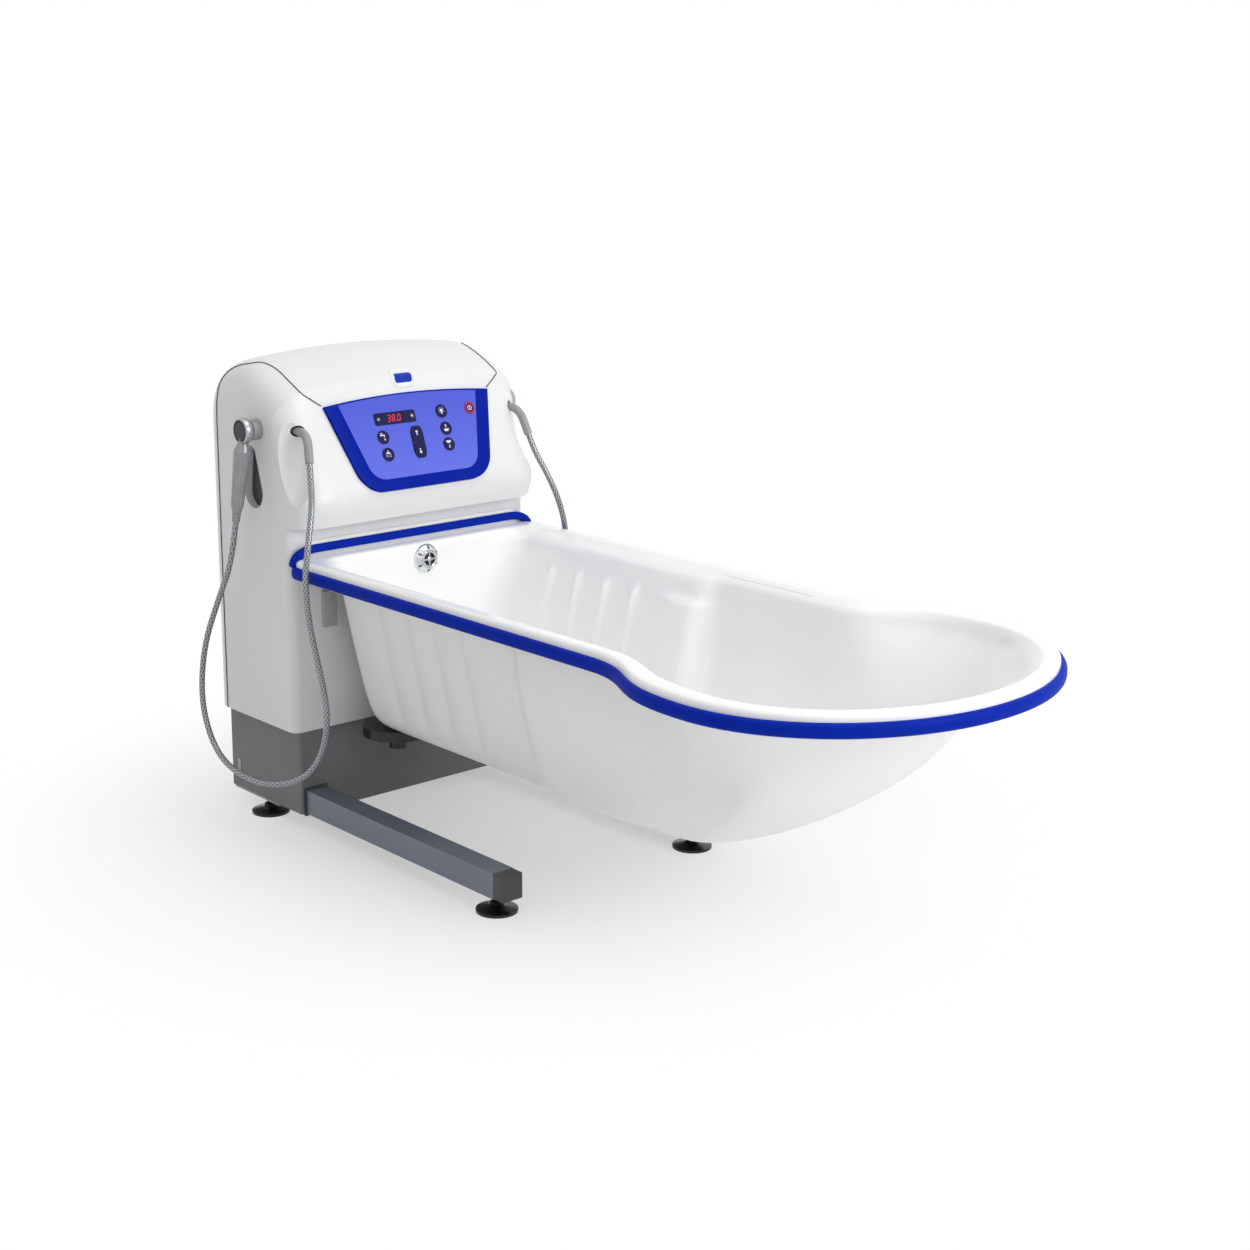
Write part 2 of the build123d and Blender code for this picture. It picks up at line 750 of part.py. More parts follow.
# Steel frame between the legs, with plates for the rear feet
beam_size = 50.0
beam_length = leg_spread - leg_width
column_x = from_front(-column_centre_reach)
plate_half = rear_foot_spread / 2 + stem_radius + leg_wall
column_plate = column_bottom - leg_bottom
flange_wall = 6.0
flange_reach = 26.0
bolt_radius = 4.0
bolt_head_radius = 6.5
bolt_head = 5.0
bolt_places = [
    (column_x + sx * (column_depth / 2 + flange_reach / 2), sy * column_width / 3)
    for sx in (-1, 1)
    for sy in (-1, 1)
]
with BuildPart() as base_frame:
    for x in (base_front - beam_size - 2 * base_wall, leg_back):
        with BuildSketch(Plane.XY.offset(leg_bottom)):
            with Locations((x + beam_size / 2, 0)):
                Rectangle(beam_size, beam_length)
        extrude(amount=leg_height)
    with BuildSketch(Plane.XY.offset(leg_bottom)):
        with Locations(((base_front + leg_back) / 2, 0)):
            Rectangle(base_front - leg_back - beam_size, column_width * 1.2)
    extrude(amount=column_plate)
    for side in (-1, 1):
        with BuildSketch(Plane.XY.offset(plate_bottom)):
            low_y = (beam_length / 2 - beam_size) * side
            with Locations(((leg_back + rear_foot_x + beam_size) / 2, (low_y + side * plate_half) / 2)):
                Rectangle(rear_foot_x + beam_size - leg_back, abs(side * plate_half - low_y))
        extrude(amount=foot_plate)
        with Locations((rear_foot_x, side * rear_foot_spread / 2, plate_bottom)):
            Cylinder(stem_radius + fit_gap, 4 * foot_plate, mode=Mode.SUBTRACT)
    with Locations(*[(x, y, column_bottom) for x, y in bolt_places]):
        Cylinder(bolt_radius, 2 * bolt_head, mode=Mode.SUBTRACT)
save(base_frame.part, "base_frame")

# Base cover: front and sides in one, rear part with its own sides
base_half = base_width / 2
cover_split = base_rear + base_rear_cover_depth
with BuildPart() as base_form:
    with BuildSketch(Plane.XY.offset(base_bottom)):
        with Locations(((base_front + base_rear) / 2, 0)):
            RectangleRounded(base_depth, base_width, base_wall * 2)
            Rectangle(base_depth - 2 * base_wall, base_width - 2 * base_wall, mode=Mode.SUBTRACT)
    extrude(amount=base_top - base_bottom)
    with BuildSketch(Plane.YZ.offset(base_front - 4 * base_wall)):
        with Locations(*[(side * leg_spread / 2, (leg_top + fit_gap) / 2) for side in (-1, 1)]):
            Rectangle(leg_width + 2 * fit_gap, leg_top + fit_gap)
    extrude(amount=8 * base_wall, mode=Mode.SUBTRACT)
with BuildPart() as base_shroud:
    add(base_form.part)
    split(bisect_by=Plane.YZ.offset(cover_split), keep=Keep.TOP)
save(base_shroud.part, "base_shroud")
with BuildPart() as base_rear_cover:
    add(base_form.part)
    split(bisect_by=Plane.YZ.offset(cover_split), keep=Keep.BOTTOM)
save(base_rear_cover.part, "base_rear_cover")

clip_width = 10.0
clip_height = 37.0
clip_low = 74.0
clip_depth = 1.5
with BuildPart() as seam_clips:
    clip_y = base_half + clip_depth / 2
    with Locations(*[(cover_split, side * clip_y, clip_low + clip_height / 2) for side in (-1, 1)]):
        Box(clip_width, clip_depth, clip_height)
save(seam_clips.part, "seam_clips")

# Middle cover between base and cabinet
cover_clearance = 1.0
tie_wall = 5.0
inner_step = column_wall + slide_gap
with BuildPart() as middle_shroud:
    with BuildSketch(Plane.XY.offset(middle_cover_bottom)):
        with Locations(((base_front + base_rear) / 2, 0)):
            outer_depth = base_depth - 2 * base_wall - cover_clearance
            outer_width = base_width - 2 * base_wall - cover_clearance
            Rectangle(outer_depth, outer_width)
            Rectangle(outer_depth - 2 * base_wall, outer_width - 2 * base_wall, mode=Mode.SUBTRACT)
    extrude(amount=middle_cover_top - middle_cover_bottom)
    with BuildSketch(Plane.XY.offset(column_middle_top - tie_wall)):
        with Locations((column_x, 0)):
            Rectangle(beam_size, outer_width - base_wall)
            Rectangle(column_depth - 2 * inner_step, column_width - 2 * inner_step, mode=Mode.SUBTRACT)
    extrude(amount=tie_wall)
save(middle_shroud.part, "middle_shroud")

# Three-stage column with a bolted foot flange
with BuildPart() as column_outer:
    add(tube_block(column_width, column_depth, column_wall, column_bottom, column_outer_top, column_x))
    with BuildSketch(Plane.XY.offset(column_bottom)):
        with Locations((column_x, 0)):
            Rectangle(column_depth + 2 * flange_reach, column_width)
            Rectangle(column_depth - column_wall, column_width - column_wall, mode=Mode.SUBTRACT)
    extrude(amount=flange_wall)
    with Locations(*[(x, y, column_bottom) for x, y in bolt_places]):
        Cylinder(bolt_radius, 4 * flange_wall, mode=Mode.SUBTRACT)
save(column_outer.part, "column_outer")

with BuildPart() as base_bolts:
    for x, y in bolt_places:
        with Locations((x, y, column_bottom - bolt_head)):
            Cylinder(bolt_radius, flange_wall + bolt_head, align=(Align.CENTER, Align.CENTER, Align.MIN))
        with BuildSketch(Plane.XY.offset(column_bottom + flange_wall)):
            with Locations((x, y)):
                RegularPolygon(bolt_head_radius, 6)
        extrude(amount=bolt_head)
save(base_bolts.part, "base_bolts")
with BuildPart() as column_middle:
    width = column_width - 2 * inner_step
    depth = column_depth - 2 * inner_step
    add(tube_block(width, depth, column_wall, column_middle_bottom, column_middle_top, column_x))
save(column_middle.part, "column_middle")
with BuildPart() as column_inner:
    width = column_width - 4 * inner_step
    depth = column_depth - 4 * inner_step
    add(tube_block(width, depth, column_wall, column_inner_bottom, carriage_height, column_x))
save(column_inner.part, "column_inner")

# Lift motor beside the column and the spindle inside it
motor_radius = 32.0
motor_height = 150.0
spindle_radius = 12.0
motor_y = column_width / 2 + motor_radius + column_wall
with BuildPart() as lift_motor:
    with Locations((column_x, motor_y, column_bottom)):
        Cylinder(motor_radius, motor_height, align=(Align.CENTER, Align.CENTER, Align.MIN))
save(lift_motor.part, "lift_motor")
with BuildPart() as lift_spindle:
    with Locations((column_x, 0, column_bottom)):
        Cylinder(spindle_radius * 2, spindle_radius, align=(Align.CENTER, Align.CENTER, Align.MIN))
        height = column_outer_top - column_bottom
        Cylinder(spindle_radius, height, align=(Align.CENTER, Align.CENTER, Align.MIN))
save(lift_spindle.part, "lift_spindle")

# Carriage on the inner column: plate, posts, top beam and arms to the tub
post_x = from_front(-post_size)
with BuildPart() as carriage:
    with BuildSketch(Plane.XY.offset(carriage_height)):
        plate_rear = column_x - column_depth / 2
        plate_front = post_x + post_size / 2
        with Locations(((plate_rear + plate_front) / 2, 0)):
            Rectangle(plate_front - plate_rear, post_spread + post_size)
    extrude(amount=carriage_plate)
    for side in (-1, 1):
        with BuildSketch(Plane.XY.offset(arm_bottom)):
            with Locations((post_x, side * arm_centre)):
                Rectangle(post_size, post_size)
        extrude(amount=post_top - arm_bottom)
        with BuildSketch(Plane.YZ.offset(post_x)):
            with Locations((side * arm_centre, arm_bottom + arm_height / 2)):
                Rectangle(arm_width, arm_height)
        extrude(amount=front_x - post_x)
    with BuildSketch(Plane.YZ.offset(post_x - post_size / 2)):
        with Locations((0, post_top - post_size / 2)):
            Rectangle(post_spread, post_size)
    extrude(amount=post_size)
save(carriage.part, "carriage")

# Steel frame under the rim, with lugs down to the carriage's arms
rail_size = 16.0
lug_wall = 10.0
lug_top = rim_height - rim_lip_drop - tub_foot_gap
rail_start = tub_foot_gap + rim_lip_wall + tub_foot_gap * 2
rail_low = rim_height - rim_plate - rail_size
rail_centre = rim_half_narrow - rim_foot_corner + rail_size * 0.3
rail_end = swell_start - 2 * rail_size
with BuildPart() as tub_frame:
    with BuildSketch(Plane.XY.offset(rail_low)):
        with Locations((from_front(rail_start + rail_size / 2), 0)):
            Rectangle(rail_size, 2 * (rim_half_narrow - rim_foot_corner + rail_size * 0.35))
        rail_from = rail_start + rail_size / 2
        for side in (-1, 1):
            with Locations((from_front((rail_from + rail_end) / 2), side * rail_centre)):
                Rectangle(rail_end - rail_from, rail_size)
    extrude(amount=rail_size)
    with BuildSketch(Plane.XY.offset(lug_top - lug_wall)):
        with Locations(*[(from_front((rail_start + rail_size) / 2), side * arm_centre) for side in (-1, 1)]):
            Rectangle(rail_start + rail_size, arm_width)
    extrude(amount=lug_wall)
    with BuildSketch(Plane.XY.offset(arm_bottom)):
        with Locations(*[(from_front(lug_wall / 2), side * arm_centre) for side in (-1, 1)]):
            Rectangle(lug_wall, arm_width)
    extrude(amount=lug_top - arm_bottom)
    with BuildSketch(Plane.XY.offset(lug_top - lug_wall)):
        with Locations(*[(from_front(rail_start + rail_size / 2), side * arm_centre) for side in (-1, 1)]):
            Rectangle(rail_size, arm_width)
    extrude(amount=rail_low - lug_top + lug_wall)
save(tub_frame.part, "tub_frame")

cover_wall = 2.0
bracket_low = 490.0
bracket_high = 575.0
with BuildPart() as bracket_covers:
    for side in (-1, 1):
        with BuildSketch(Plane.YZ.offset(front_x)):
            with Locations((side * arm_centre, (bracket_low + bracket_high) / 2)):
                Rectangle(arm_width + 2 * cover_wall + 2 * fit_gap, bracket_high - bracket_low)
        extrude(amount=lug_wall + cover_wall + fit_gap)
        with BuildSketch(Plane.YZ.offset(front_x)):
            with Locations((side * arm_centre, (bracket_low + cover_wall + bracket_high + overrun) / 2)):
                Rectangle(arm_width + 2 * fit_gap, bracket_high + overrun - bracket_low - cover_wall)
        extrude(amount=lug_wall + fit_gap, mode=Mode.SUBTRACT)
save(bracket_covers.part, "bracket_covers")

# Overflow fitting on the foot wall with its turning knob
overflow_front = 70.0
overflow_back = 37.0
overflow_flange = 48.0
knob_radius = 21.0
knob_back = 55.0
knob_slot = 5.0


def foot_cylinder(radius, back, front):
    """Round block along the bath on the overflow's axis."""
    with BuildPart() as block:
        with BuildSketch(Plane.YZ.offset(from_front(back))):
            with Locations((0, overflow_height)):
                Circle(radius)
        extrude(amount=front - back)
    return block.part


with BuildPart() as overflow_body:
    add(foot_cylinder(overflow_radius, overflow_flange, overflow_front))
    add(tub_shell.part, mode=Mode.SUBTRACT)
    add(foot_cylinder(overflow_bore - fit_gap, overflow_back, overflow_front - overflow_back / 4))
    add(foot_cylinder(knob_radius + fit_gap, knob_back, overflow_front + overrun), mode=Mode.SUBTRACT)
    add(foot_cylinder(knob_radius - knob_slot, overflow_back - overrun, overflow_front), mode=Mode.SUBTRACT)
save(overflow_body.part, "overflow_body")

with BuildPart() as overflow_knob:
    add(foot_cylinder(knob_radius, knob_back, overflow_front))
    with Locations((from_front(overflow_front), 0, overflow_height)):
        Box(knob_slot * 2, knob_slot, knob_radius * 1.4, mode=Mode.SUBTRACT)
        Box(knob_slot * 2, knob_radius * 1.4, knob_slot, mode=Mode.SUBTRACT)
save(overflow_knob.part, "overflow_knob")

# Waste trap under the tub and the plug in its collar
trap_radius = 82.0
trap_side = -127.0
trap_low = 226.0
collar_radius = drain_radius - fit_gap
collar_flange = 34.0
collar_bore = 21.0
collar_plate = 2.5
spigot_radius = 20.0
spigot_bore = 17.0
spigot_length = 35.0
drain_x = from_front(drain_reach)
trap_x = from_front(trap_reach)
floor_top = tub_bottom + tub_wall


def upright(x, y, radius, low, high):
    """Upright round block."""
    with BuildPart() as block:
        with BuildSketch(Plane.XY.offset(low)):
            with Locations((x, y)):
                Circle(radius)
        extrude(amount=high - low)
    return block.part


with BuildPart() as waste_trap:
    add(upright(trap_x, trap_side, trap_radius, trap_low, tub_bottom - fit_gap))
    add(upright(drain_x, drain_side, collar_radius, trap_low, floor_top))
    add(upright(drain_x, drain_side, collar_flange, floor_top, floor_top + collar_plate))
    add(upright(drain_x, drain_side, collar_bore, trap_low + tub_wall, rim_height), mode=Mode.SUBTRACT)
    add(upright(trap_x, trap_side, spigot_radius, trap_low - spigot_length, trap_low))
    add(
        upright(trap_x, trap_side, spigot_bore, trap_low - spigot_length - overrun, trap_low + tub_wall),
        mode=Mode.SUBTRACT,
    )
save(waste_trap.part, "waste_trap")

plug_radius = 25.0
plug_height = 5.0
plug_stem = 5.0
plug_low = floor_top + collar_plate + fit_gap
with BuildPart() as drain_plug:
    add(upright(drain_x, drain_side, plug_radius, plug_low, plug_low + plug_height))
    add(upright(drain_x, drain_side, plug_stem, trap_low + 2 * tub_wall, plug_low))
    fillet(drain_plug.edges().sort_by(Axis.Z)[-1], plug_height * 0.6)
save(drain_plug.part, "drain_plug")

# Inlet plate at the rear with its nipples and screws, mixing valve and pipes behind it
nipple_radius = 10.5
nipple_length = 22.0
neck_radius = 8.5
nipple_bore = 6.0
nipple_spread = 120.0
valve_depth = 60.0
valve_width = 200.0
valve_height = 60.0
valve_gap = 20.0
screw_radius = 5.0
screw_head = 3.0
plate_back = rear_x + inlet_plate_depth
valve_back = plate_back + valve_gap
with BuildPart() as inlet_plate:
    with Locations((rear_x + inlet_plate_depth / 2, 0, inlet_plate_centre)):
        Box(inlet_plate_depth, inlet_plate_width - 2 * fit_gap, inlet_plate_height - 2 * fit_gap)
    with Locations((rear_x + inlet_plate_depth / 2 - inlet_plate_wall, 0, inlet_plate_centre)):
        Box(
            inlet_plate_depth,
            inlet_plate_width - 2 * inlet_plate_wall,
            inlet_plate_height - 2 * inlet_plate_wall,
            mode=Mode.SUBTRACT,
        )
    with Locations(*[(plate_back, side * nipple_spread / 2, inlet_plate_centre) for side in (-1, 1)]):
        Cylinder(neck_radius + fit_gap, 4 * inlet_plate_wall, rotation=(0, 90, 0), mode=Mode.SUBTRACT)
save(inlet_plate.part, "inlet_plate")

with BuildPart() as inlet_nipples:
    for side in (-1, 1):
        for radius, start, length in (
            (nipple_radius, plate_back - inlet_plate_wall - nipple_length, nipple_length),
            (neck_radius, plate_back - inlet_plate_wall, inlet_plate_wall + valve_gap),
        ):
            with BuildSketch(Plane.YZ.offset(start)):
                with Locations((side * nipple_spread / 2, inlet_plate_centre)):
                    Circle(radius)
                    Circle(nipple_bore, mode=Mode.SUBTRACT)
            extrude(amount=length)
save(inlet_nipples.part, "inlet_nipples")

with BuildPart() as inlet_screws:
    for sy in (-1, 1):
        for sz in (-1, 1):
            with BuildSketch(Plane.YZ.offset(plate_back - inlet_plate_wall - screw_head)):
                with Locations((
                    sy * (inlet_plate_width / 2 - 4 * screw_radius),
                    inlet_plate_centre + sz * (inlet_plate_height / 2 - 4 * screw_radius),
                )):
                    Circle(screw_radius)
            extrude(amount=screw_head)
save(inlet_screws.part, "inlet_screws")

with BuildPart() as mixing_valve:
    with Locations((valve_back + valve_depth / 2, 0, inlet_plate_centre)):
        Box(valve_depth, valve_width, valve_height)
    fillet(mixing_valve.edges().filter_by(Axis.Y), valve_depth / 6)
save(mixing_valve.part, "mixing_valve")

# Hoses with their elbows, hand showers and holders
hose_radius = hose_diameter / 2


def swept_tube(points, radius, label):
    """Tube along straight runs joined by arcs as large as the runs allow."""
    spots = [Vector(*point) for point in points]
    radii = []
    for before, here, after in zip(spots, spots[1:], spots[2:]):
        turn = math.radians((here - before).get_angle(after - here))
        shorter = min((here - before).length, (after - here).length)
        radii.append(0.45 * shorter / math.tan(turn / 2))
    with BuildPart() as tube:
        with BuildLine() as path:
            FilletPolyline(*spots, radius=radii)
        with BuildSketch(Plane(origin=spots[0], z_dir=spots[1] - spots[0])):
            Circle(radius)
        sweep(path=path.line)
    length = sum(edge.length for edge in path.line.edges())
    ratio = tube.part.volume / (math.pi * radius ** 2 * length)
    print(label, "radii", [round(value) for value in radii])
    print(label, "length", round(length), "ratio", round(ratio, 4))
    return tube.part


def mirrored(points, side):
    """Route on one side of the bath: the near side's is written, the far side's mirrored."""
    return [(x, y * -side, z) for x, y, z in points]


elbow_radius = elbow_diameter / 2
elbow_depth = 60.0
elbow_side = 303.0
elbow_inner = (from_front(-elbow_depth), -elbow_side, socket_height)
elbow_turn_share = 1.4
pipe_radius = 6.0
handle_top_share = 0.79
ferrule_radius = 10.0
ferrule_length = 22.0
grip_low_radius = 13.0
grip_high_radius = 19.0
head_radius = 31.0
head_depth = 26.0
face_radius = 26.0
face_depth = 4.0
for name, side in (("left", -1), ("right", 1)):
    route = mirrored(hose_points, side)
    with BuildPart() as hose:
        add(swept_tube(route, hose_radius, "hose_" + name))
    save(hose.part, "hose_" + name)

    start, second = Vector(*route[0]), Vector(*route[1])
    bend = start - (second - start) * elbow_turn_share
    inner = Vector(*mirrored([elbow_inner], side)[0])
    with BuildPart() as elbow:
        with BuildLine() as path:
            FilletPolyline(inner, bend, start, radius=2.2 * elbow_diameter)
        with BuildSketch(Plane(origin=inner, z_dir=bend - inner)):
            Circle(elbow_radius)
        sweep(path=path.line)
    save(elbow.part, "elbow_" + name)

    end, last = Vector(*route[-1]), Vector(*route[-2])
    axis = (end - last).normalized()
    head_centre = end + axis * handset_length
    with BuildPart() as handset:
        radial = axis.cross(Vector(0, 1, 0)).normalized()
        with BuildSketch(Plane(origin=end, x_dir=radial, z_dir=radial.cross(axis))):
            with BuildLine():
                shoulder = handset_length * handle_top_share
                Polyline(
                    (0, 0), (ferrule_radius, 0), (ferrule_radius, ferrule_length),
                    (grip_low_radius, ferrule_length + grip_low_radius / 2),
                    (grip_high_radius, shoulder), (ferrule_radius, handset_length - head_radius / 2),
                    (0, handset_length - head_radius / 2), close=True,
                )
            make_face()
        revolve(axis=Axis(end, axis))
        with BuildSketch(Plane(origin=head_centre - Vector(0, side * head_depth / 2, 0), z_dir=(0, side, 0))):
            Circle(head_radius)
        extrude(amount=head_depth)
        face_at = head_centre + Vector(0, side * (head_depth / 2 - face_depth), 0)
        with BuildSketch(Plane(origin=face_at, z_dir=(0, side, 0))):
            Circle(face_radius)
        extrude(amount=face_depth + overrun, mode=Mode.SUBTRACT)
    save(handset.part, "handset_" + name)
    with BuildPart() as spray_face:
        with BuildSketch(Plane(origin=face_at, z_dir=(0, side, 0))):
            Circle(face_radius)
        extrude(amount=face_depth - fit_gap)
    save(spray_face.part, "spray_face_" + name)

    holder_back = side * (half_width - 2 * cabinet_wall)
    head_back = abs(head_centre.Y) - head_depth / 2 - fit_gap
    with BuildPart() as holder:
        with BuildSketch(Plane(origin=(head_centre.X, side * half_width, head_centre.Z), z_dir=(0, side, 0))):
            Circle(holder_radius)
        extrude(amount=head_back - half_width)
        peg = (head_centre.X, holder_back, head_centre.Z)
        with BuildSketch(Plane(origin=peg, z_dir=(0, side, 0))):
            Circle(holder_radius / 2)
        extrude(amount=2 * cabinet_wall)
    save(holder.part, "holder_" + name)
    print(name, "head centre", head_centre, "axis", axis)

# Pipes from the mixing valve to the elbows
valve_x = valve_back + valve_depth / 2
with BuildPart() as water_pipes:
    for side in (-1, 1):
        low_end = Vector(valve_x, side * nipple_spread / 2, inlet_plate_centre + valve_height / 2)
        high_turn = Vector(valve_x, side * nipple_spread / 2, elbow_inner[2])
        corner = Vector(valve_x, -side * elbow_inner[1], elbow_inner[2])
        high_end = Vector(elbow_inner[0] - fit_gap, -side * elbow_inner[1], elbow_inner[2])
        with BuildLine() as path:
            FilletPolyline(low_end, high_turn, corner, high_end, radius=4 * pipe_radius)
        with BuildSketch(Plane(origin=low_end, z_dir=(0, 0, 1))):
            Circle(pipe_radius)
        sweep(path=path.line)
save(water_pipes.part, "water_pipes")
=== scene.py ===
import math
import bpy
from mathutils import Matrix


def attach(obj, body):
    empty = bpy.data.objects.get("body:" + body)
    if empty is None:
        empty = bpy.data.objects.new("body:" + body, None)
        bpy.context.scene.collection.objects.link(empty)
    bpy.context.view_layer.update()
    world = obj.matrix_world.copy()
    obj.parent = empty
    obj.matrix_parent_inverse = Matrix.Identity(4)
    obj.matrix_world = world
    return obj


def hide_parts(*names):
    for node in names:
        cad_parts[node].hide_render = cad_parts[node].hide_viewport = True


bl_info = {
    "name": "Assisted bath",
    "version": (1, 0, 0),
    "blender": (4, 5, 0),
    "location": "View3D > Sidebar > Bath",
    "description": "Dresses the height-adjustable assisted bath: tub, cabinet, panel, hand showers and base",
    "category": "Object",
}

import bpy
from mathutils import Matrix, Vector

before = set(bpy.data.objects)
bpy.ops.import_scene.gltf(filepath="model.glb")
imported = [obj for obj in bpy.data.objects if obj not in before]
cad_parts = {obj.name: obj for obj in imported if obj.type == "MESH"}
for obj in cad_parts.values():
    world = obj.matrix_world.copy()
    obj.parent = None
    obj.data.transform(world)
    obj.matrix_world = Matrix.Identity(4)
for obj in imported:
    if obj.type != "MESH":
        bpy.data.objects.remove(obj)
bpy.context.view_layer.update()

# A millimetre in metres, the cabinet's lower front face on the x axis, and the two sides of the bath

MM = 0.001
CABINET_FACE = -0.705
SIDES = (("left", -1.0), ("right", 1.0))

# Radius in millimetres that closes a turned piece at its axis

TIP = 0.01


# Shared helpers


def along(reach):
    """Place along the bath in metres, from millimetres in front of the cabinet's lower face."""
    return CABINET_FACE + reach * MM


def clear():
    """Leave edit mode and deselect everything."""
    if bpy.context.object and bpy.context.object.mode != "OBJECT":
        bpy.ops.object.mode_set(mode="OBJECT")
    bpy.ops.object.select_all(action="DESELECT")


def take(piece):
    """Make one piece the only selected and active one."""
    clear()
    piece.select_set(True)
    bpy.context.view_layer.objects.active = piece


def mesh_piece(name, points, faces):
    """New mesh piece from points in metres and faces, with its normals turned outwards."""
    mesh = bpy.data.meshes.new(name)
    mesh.from_pydata([tuple(p) for p in points], [], faces)
    piece = bpy.data.objects.new(name, mesh)
    bpy.context.collection.objects.link(piece)
    take(piece)
    bpy.ops.object.mode_set(mode="EDIT")
    bpy.ops.mesh.select_all(action="SELECT")
    bpy.ops.mesh.remove_doubles(threshold=0.00001)
    bpy.ops.mesh.normals_make_consistent(inside=False)
    bpy.ops.object.mode_set(mode="OBJECT")
    return piece


def skin(name, rings, folded=False):
    """Surface through rings of equally many points; its ends are closed whole, or folded across in strips."""
    count = len(rings[0])
    points = [p for ring in rings for p in ring]
    faces = []
    for row in range(len(rings) - 1):
        low, high = row * count, (row + 1) * count
        for step in range(count):
            after = (step + 1) % count
            faces.append((low + step, low + after, high + after, high + step))
    for first in (0, (len(rings) - 1) * count):
        if not folded:
            faces.append(tuple(range(first, first + count)))
            continue
        for step in range(count // 2):
            ends = [step, step + 1, (count - step - 1) % count, (count - step) % count]
            faces.append(tuple(first + end for end in dict.fromkeys(ends)))
    return mesh_piece(name, points, faces)


def turned(name, profile, steps=64, flutes=0, depth=0.0, span=(0.0, 0.0)):
    """Round piece about its own z axis from radii and heights in millimetres, with flutes if asked."""
    rings = []
    for radius, height in profile:
        ring = []
        for step in range(steps):
            turn = 2 * math.pi * step / steps
            r = radius
            if flutes and span[0] <= height <= span[1]:
                r -= depth * abs(math.sin(turn * flutes / 2)) ** 0.7
            ring.append((r * MM * math.cos(turn), r * MM * math.sin(turn), height * MM))
        rings.append(ring)
    return skin(name, rings)


def squared(turn):
    """Point at an angle in degrees on a square of half size 1 with soft corners."""
    a = math.radians(turn)
    reach = (abs(math.cos(a)) ** 4 + abs(math.sin(a)) ** 4) ** -0.25
    return reach * math.cos(a), reach * math.sin(a)


def round_line(name, kind, places, radius, rounds):
    """Curve piece with a round section through places in metres; its spline comes with it."""
    line = bpy.data.curves.new(name, "CURVE")
    line.dimensions = "3D"
    line.bevel_depth = radius
    line.bevel_resolution = rounds
    line.use_fill_caps = True
    spline = line.splines.new(kind)
    spline.points.add(len(places) - 1)
    for spot, place in zip(spline.points, places):
        spot.co = (*place, 1.0)
    piece = bpy.data.objects.new(name, line)
    bpy.context.collection.objects.link(piece)
    return piece, spline


def as_mesh(piece):
    """Turn a curve piece into a mesh piece."""
    take(piece)
    bpy.ops.object.convert(target="MESH")
    return piece


def stand(piece, place, facing, roll=(0.0, 0.0, 1.0)):
    """Put a piece made at the origin at its place, with its z axis along facing, in its mesh."""
    z = Vector(facing).normalized()
    side = Vector(roll)
    if abs(side.dot(z)) > 0.98:
        side = Vector((1.0, 0.0, 0.0))
    x = side.cross(z).normalized()
    y = z.cross(x)
    turn = Matrix((x, y, z)).transposed().to_4x4()
    piece.data.transform(Matrix.Translation(Vector(place)) @ turn)
    return piece


def modify(piece, kind, **settings):
    """Add a modifier, set it and apply it."""
    take(piece)
    change = piece.modifiers.new(kind.title(), kind)
    for key, value in settings.items():
        setattr(change, key, value)
    bpy.ops.object.modifier_apply(modifier=change.name)
    return piece


def merge(pieces, name):
    """Join pieces into one and name it."""
    take(pieces[0])
    for piece in pieces[1:]:
        piece.select_set(True)
    if len(pieces) > 1:
        bpy.ops.object.join()
    pieces[0].name = name
    return pieces[0]


def done(piece, body, material, angle=35.0, stands_for=()):
    """Shade, finish and hang a piece on its body, in place of the solids it stands for."""
    take(piece)
    if piece.type == "MESH":
        bpy.ops.object.shade_smooth_by_angle(angle=math.radians(angle))
        piece.data.materials.clear()
    piece.data.materials.append(material)
    clear()
    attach(piece, body)
    if stands_for:
        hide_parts(*stands_for)
    return piece


# Materials


def tint(code, alpha=1.0):
    """Linear colour of an sRGB hex value."""
    parts = [int(code[i:i + 2], 16) / 255 for i in (1, 3, 5)]
    return tuple(c / 12.92 if c <= 0.04045 else ((c + 0.055) / 1.055) ** 2.4 for c in parts) + (alpha,)


def node(tree, kind, values=None, links=None, **settings):
    """Add a shader node with its settings, its socket values and its incoming links."""
    made = tree.nodes.new(kind)
    for key, value in settings.items():
        setattr(made, key, value)
    for key, value in (values or {}).items():
        made.inputs[key].default_value = value
    for key, source in (links or {}).items():
        tree.links.new(source, made.inputs[key])
    return made


def blank(name):
    """Empty node material, its tree and its output."""
    made = bpy.data.materials.new(name)
    made.use_nodes = True
    made.node_tree.nodes.clear()
    return made, made.node_tree, node(made.node_tree, "ShaderNodeOutputMaterial")


def ramp(tree, source, low, high, places=(0.0, 1.0)):
    """Add a colour ramp between two linear colours."""
    made = node(tree, "ShaderNodeValToRGB", links={"Fac": source})
    for element, place, colour in zip(made.color_ramp.elements, places, (low, high)):
        element.position = place
        element.color = colour
    return made


FINISHES = {}


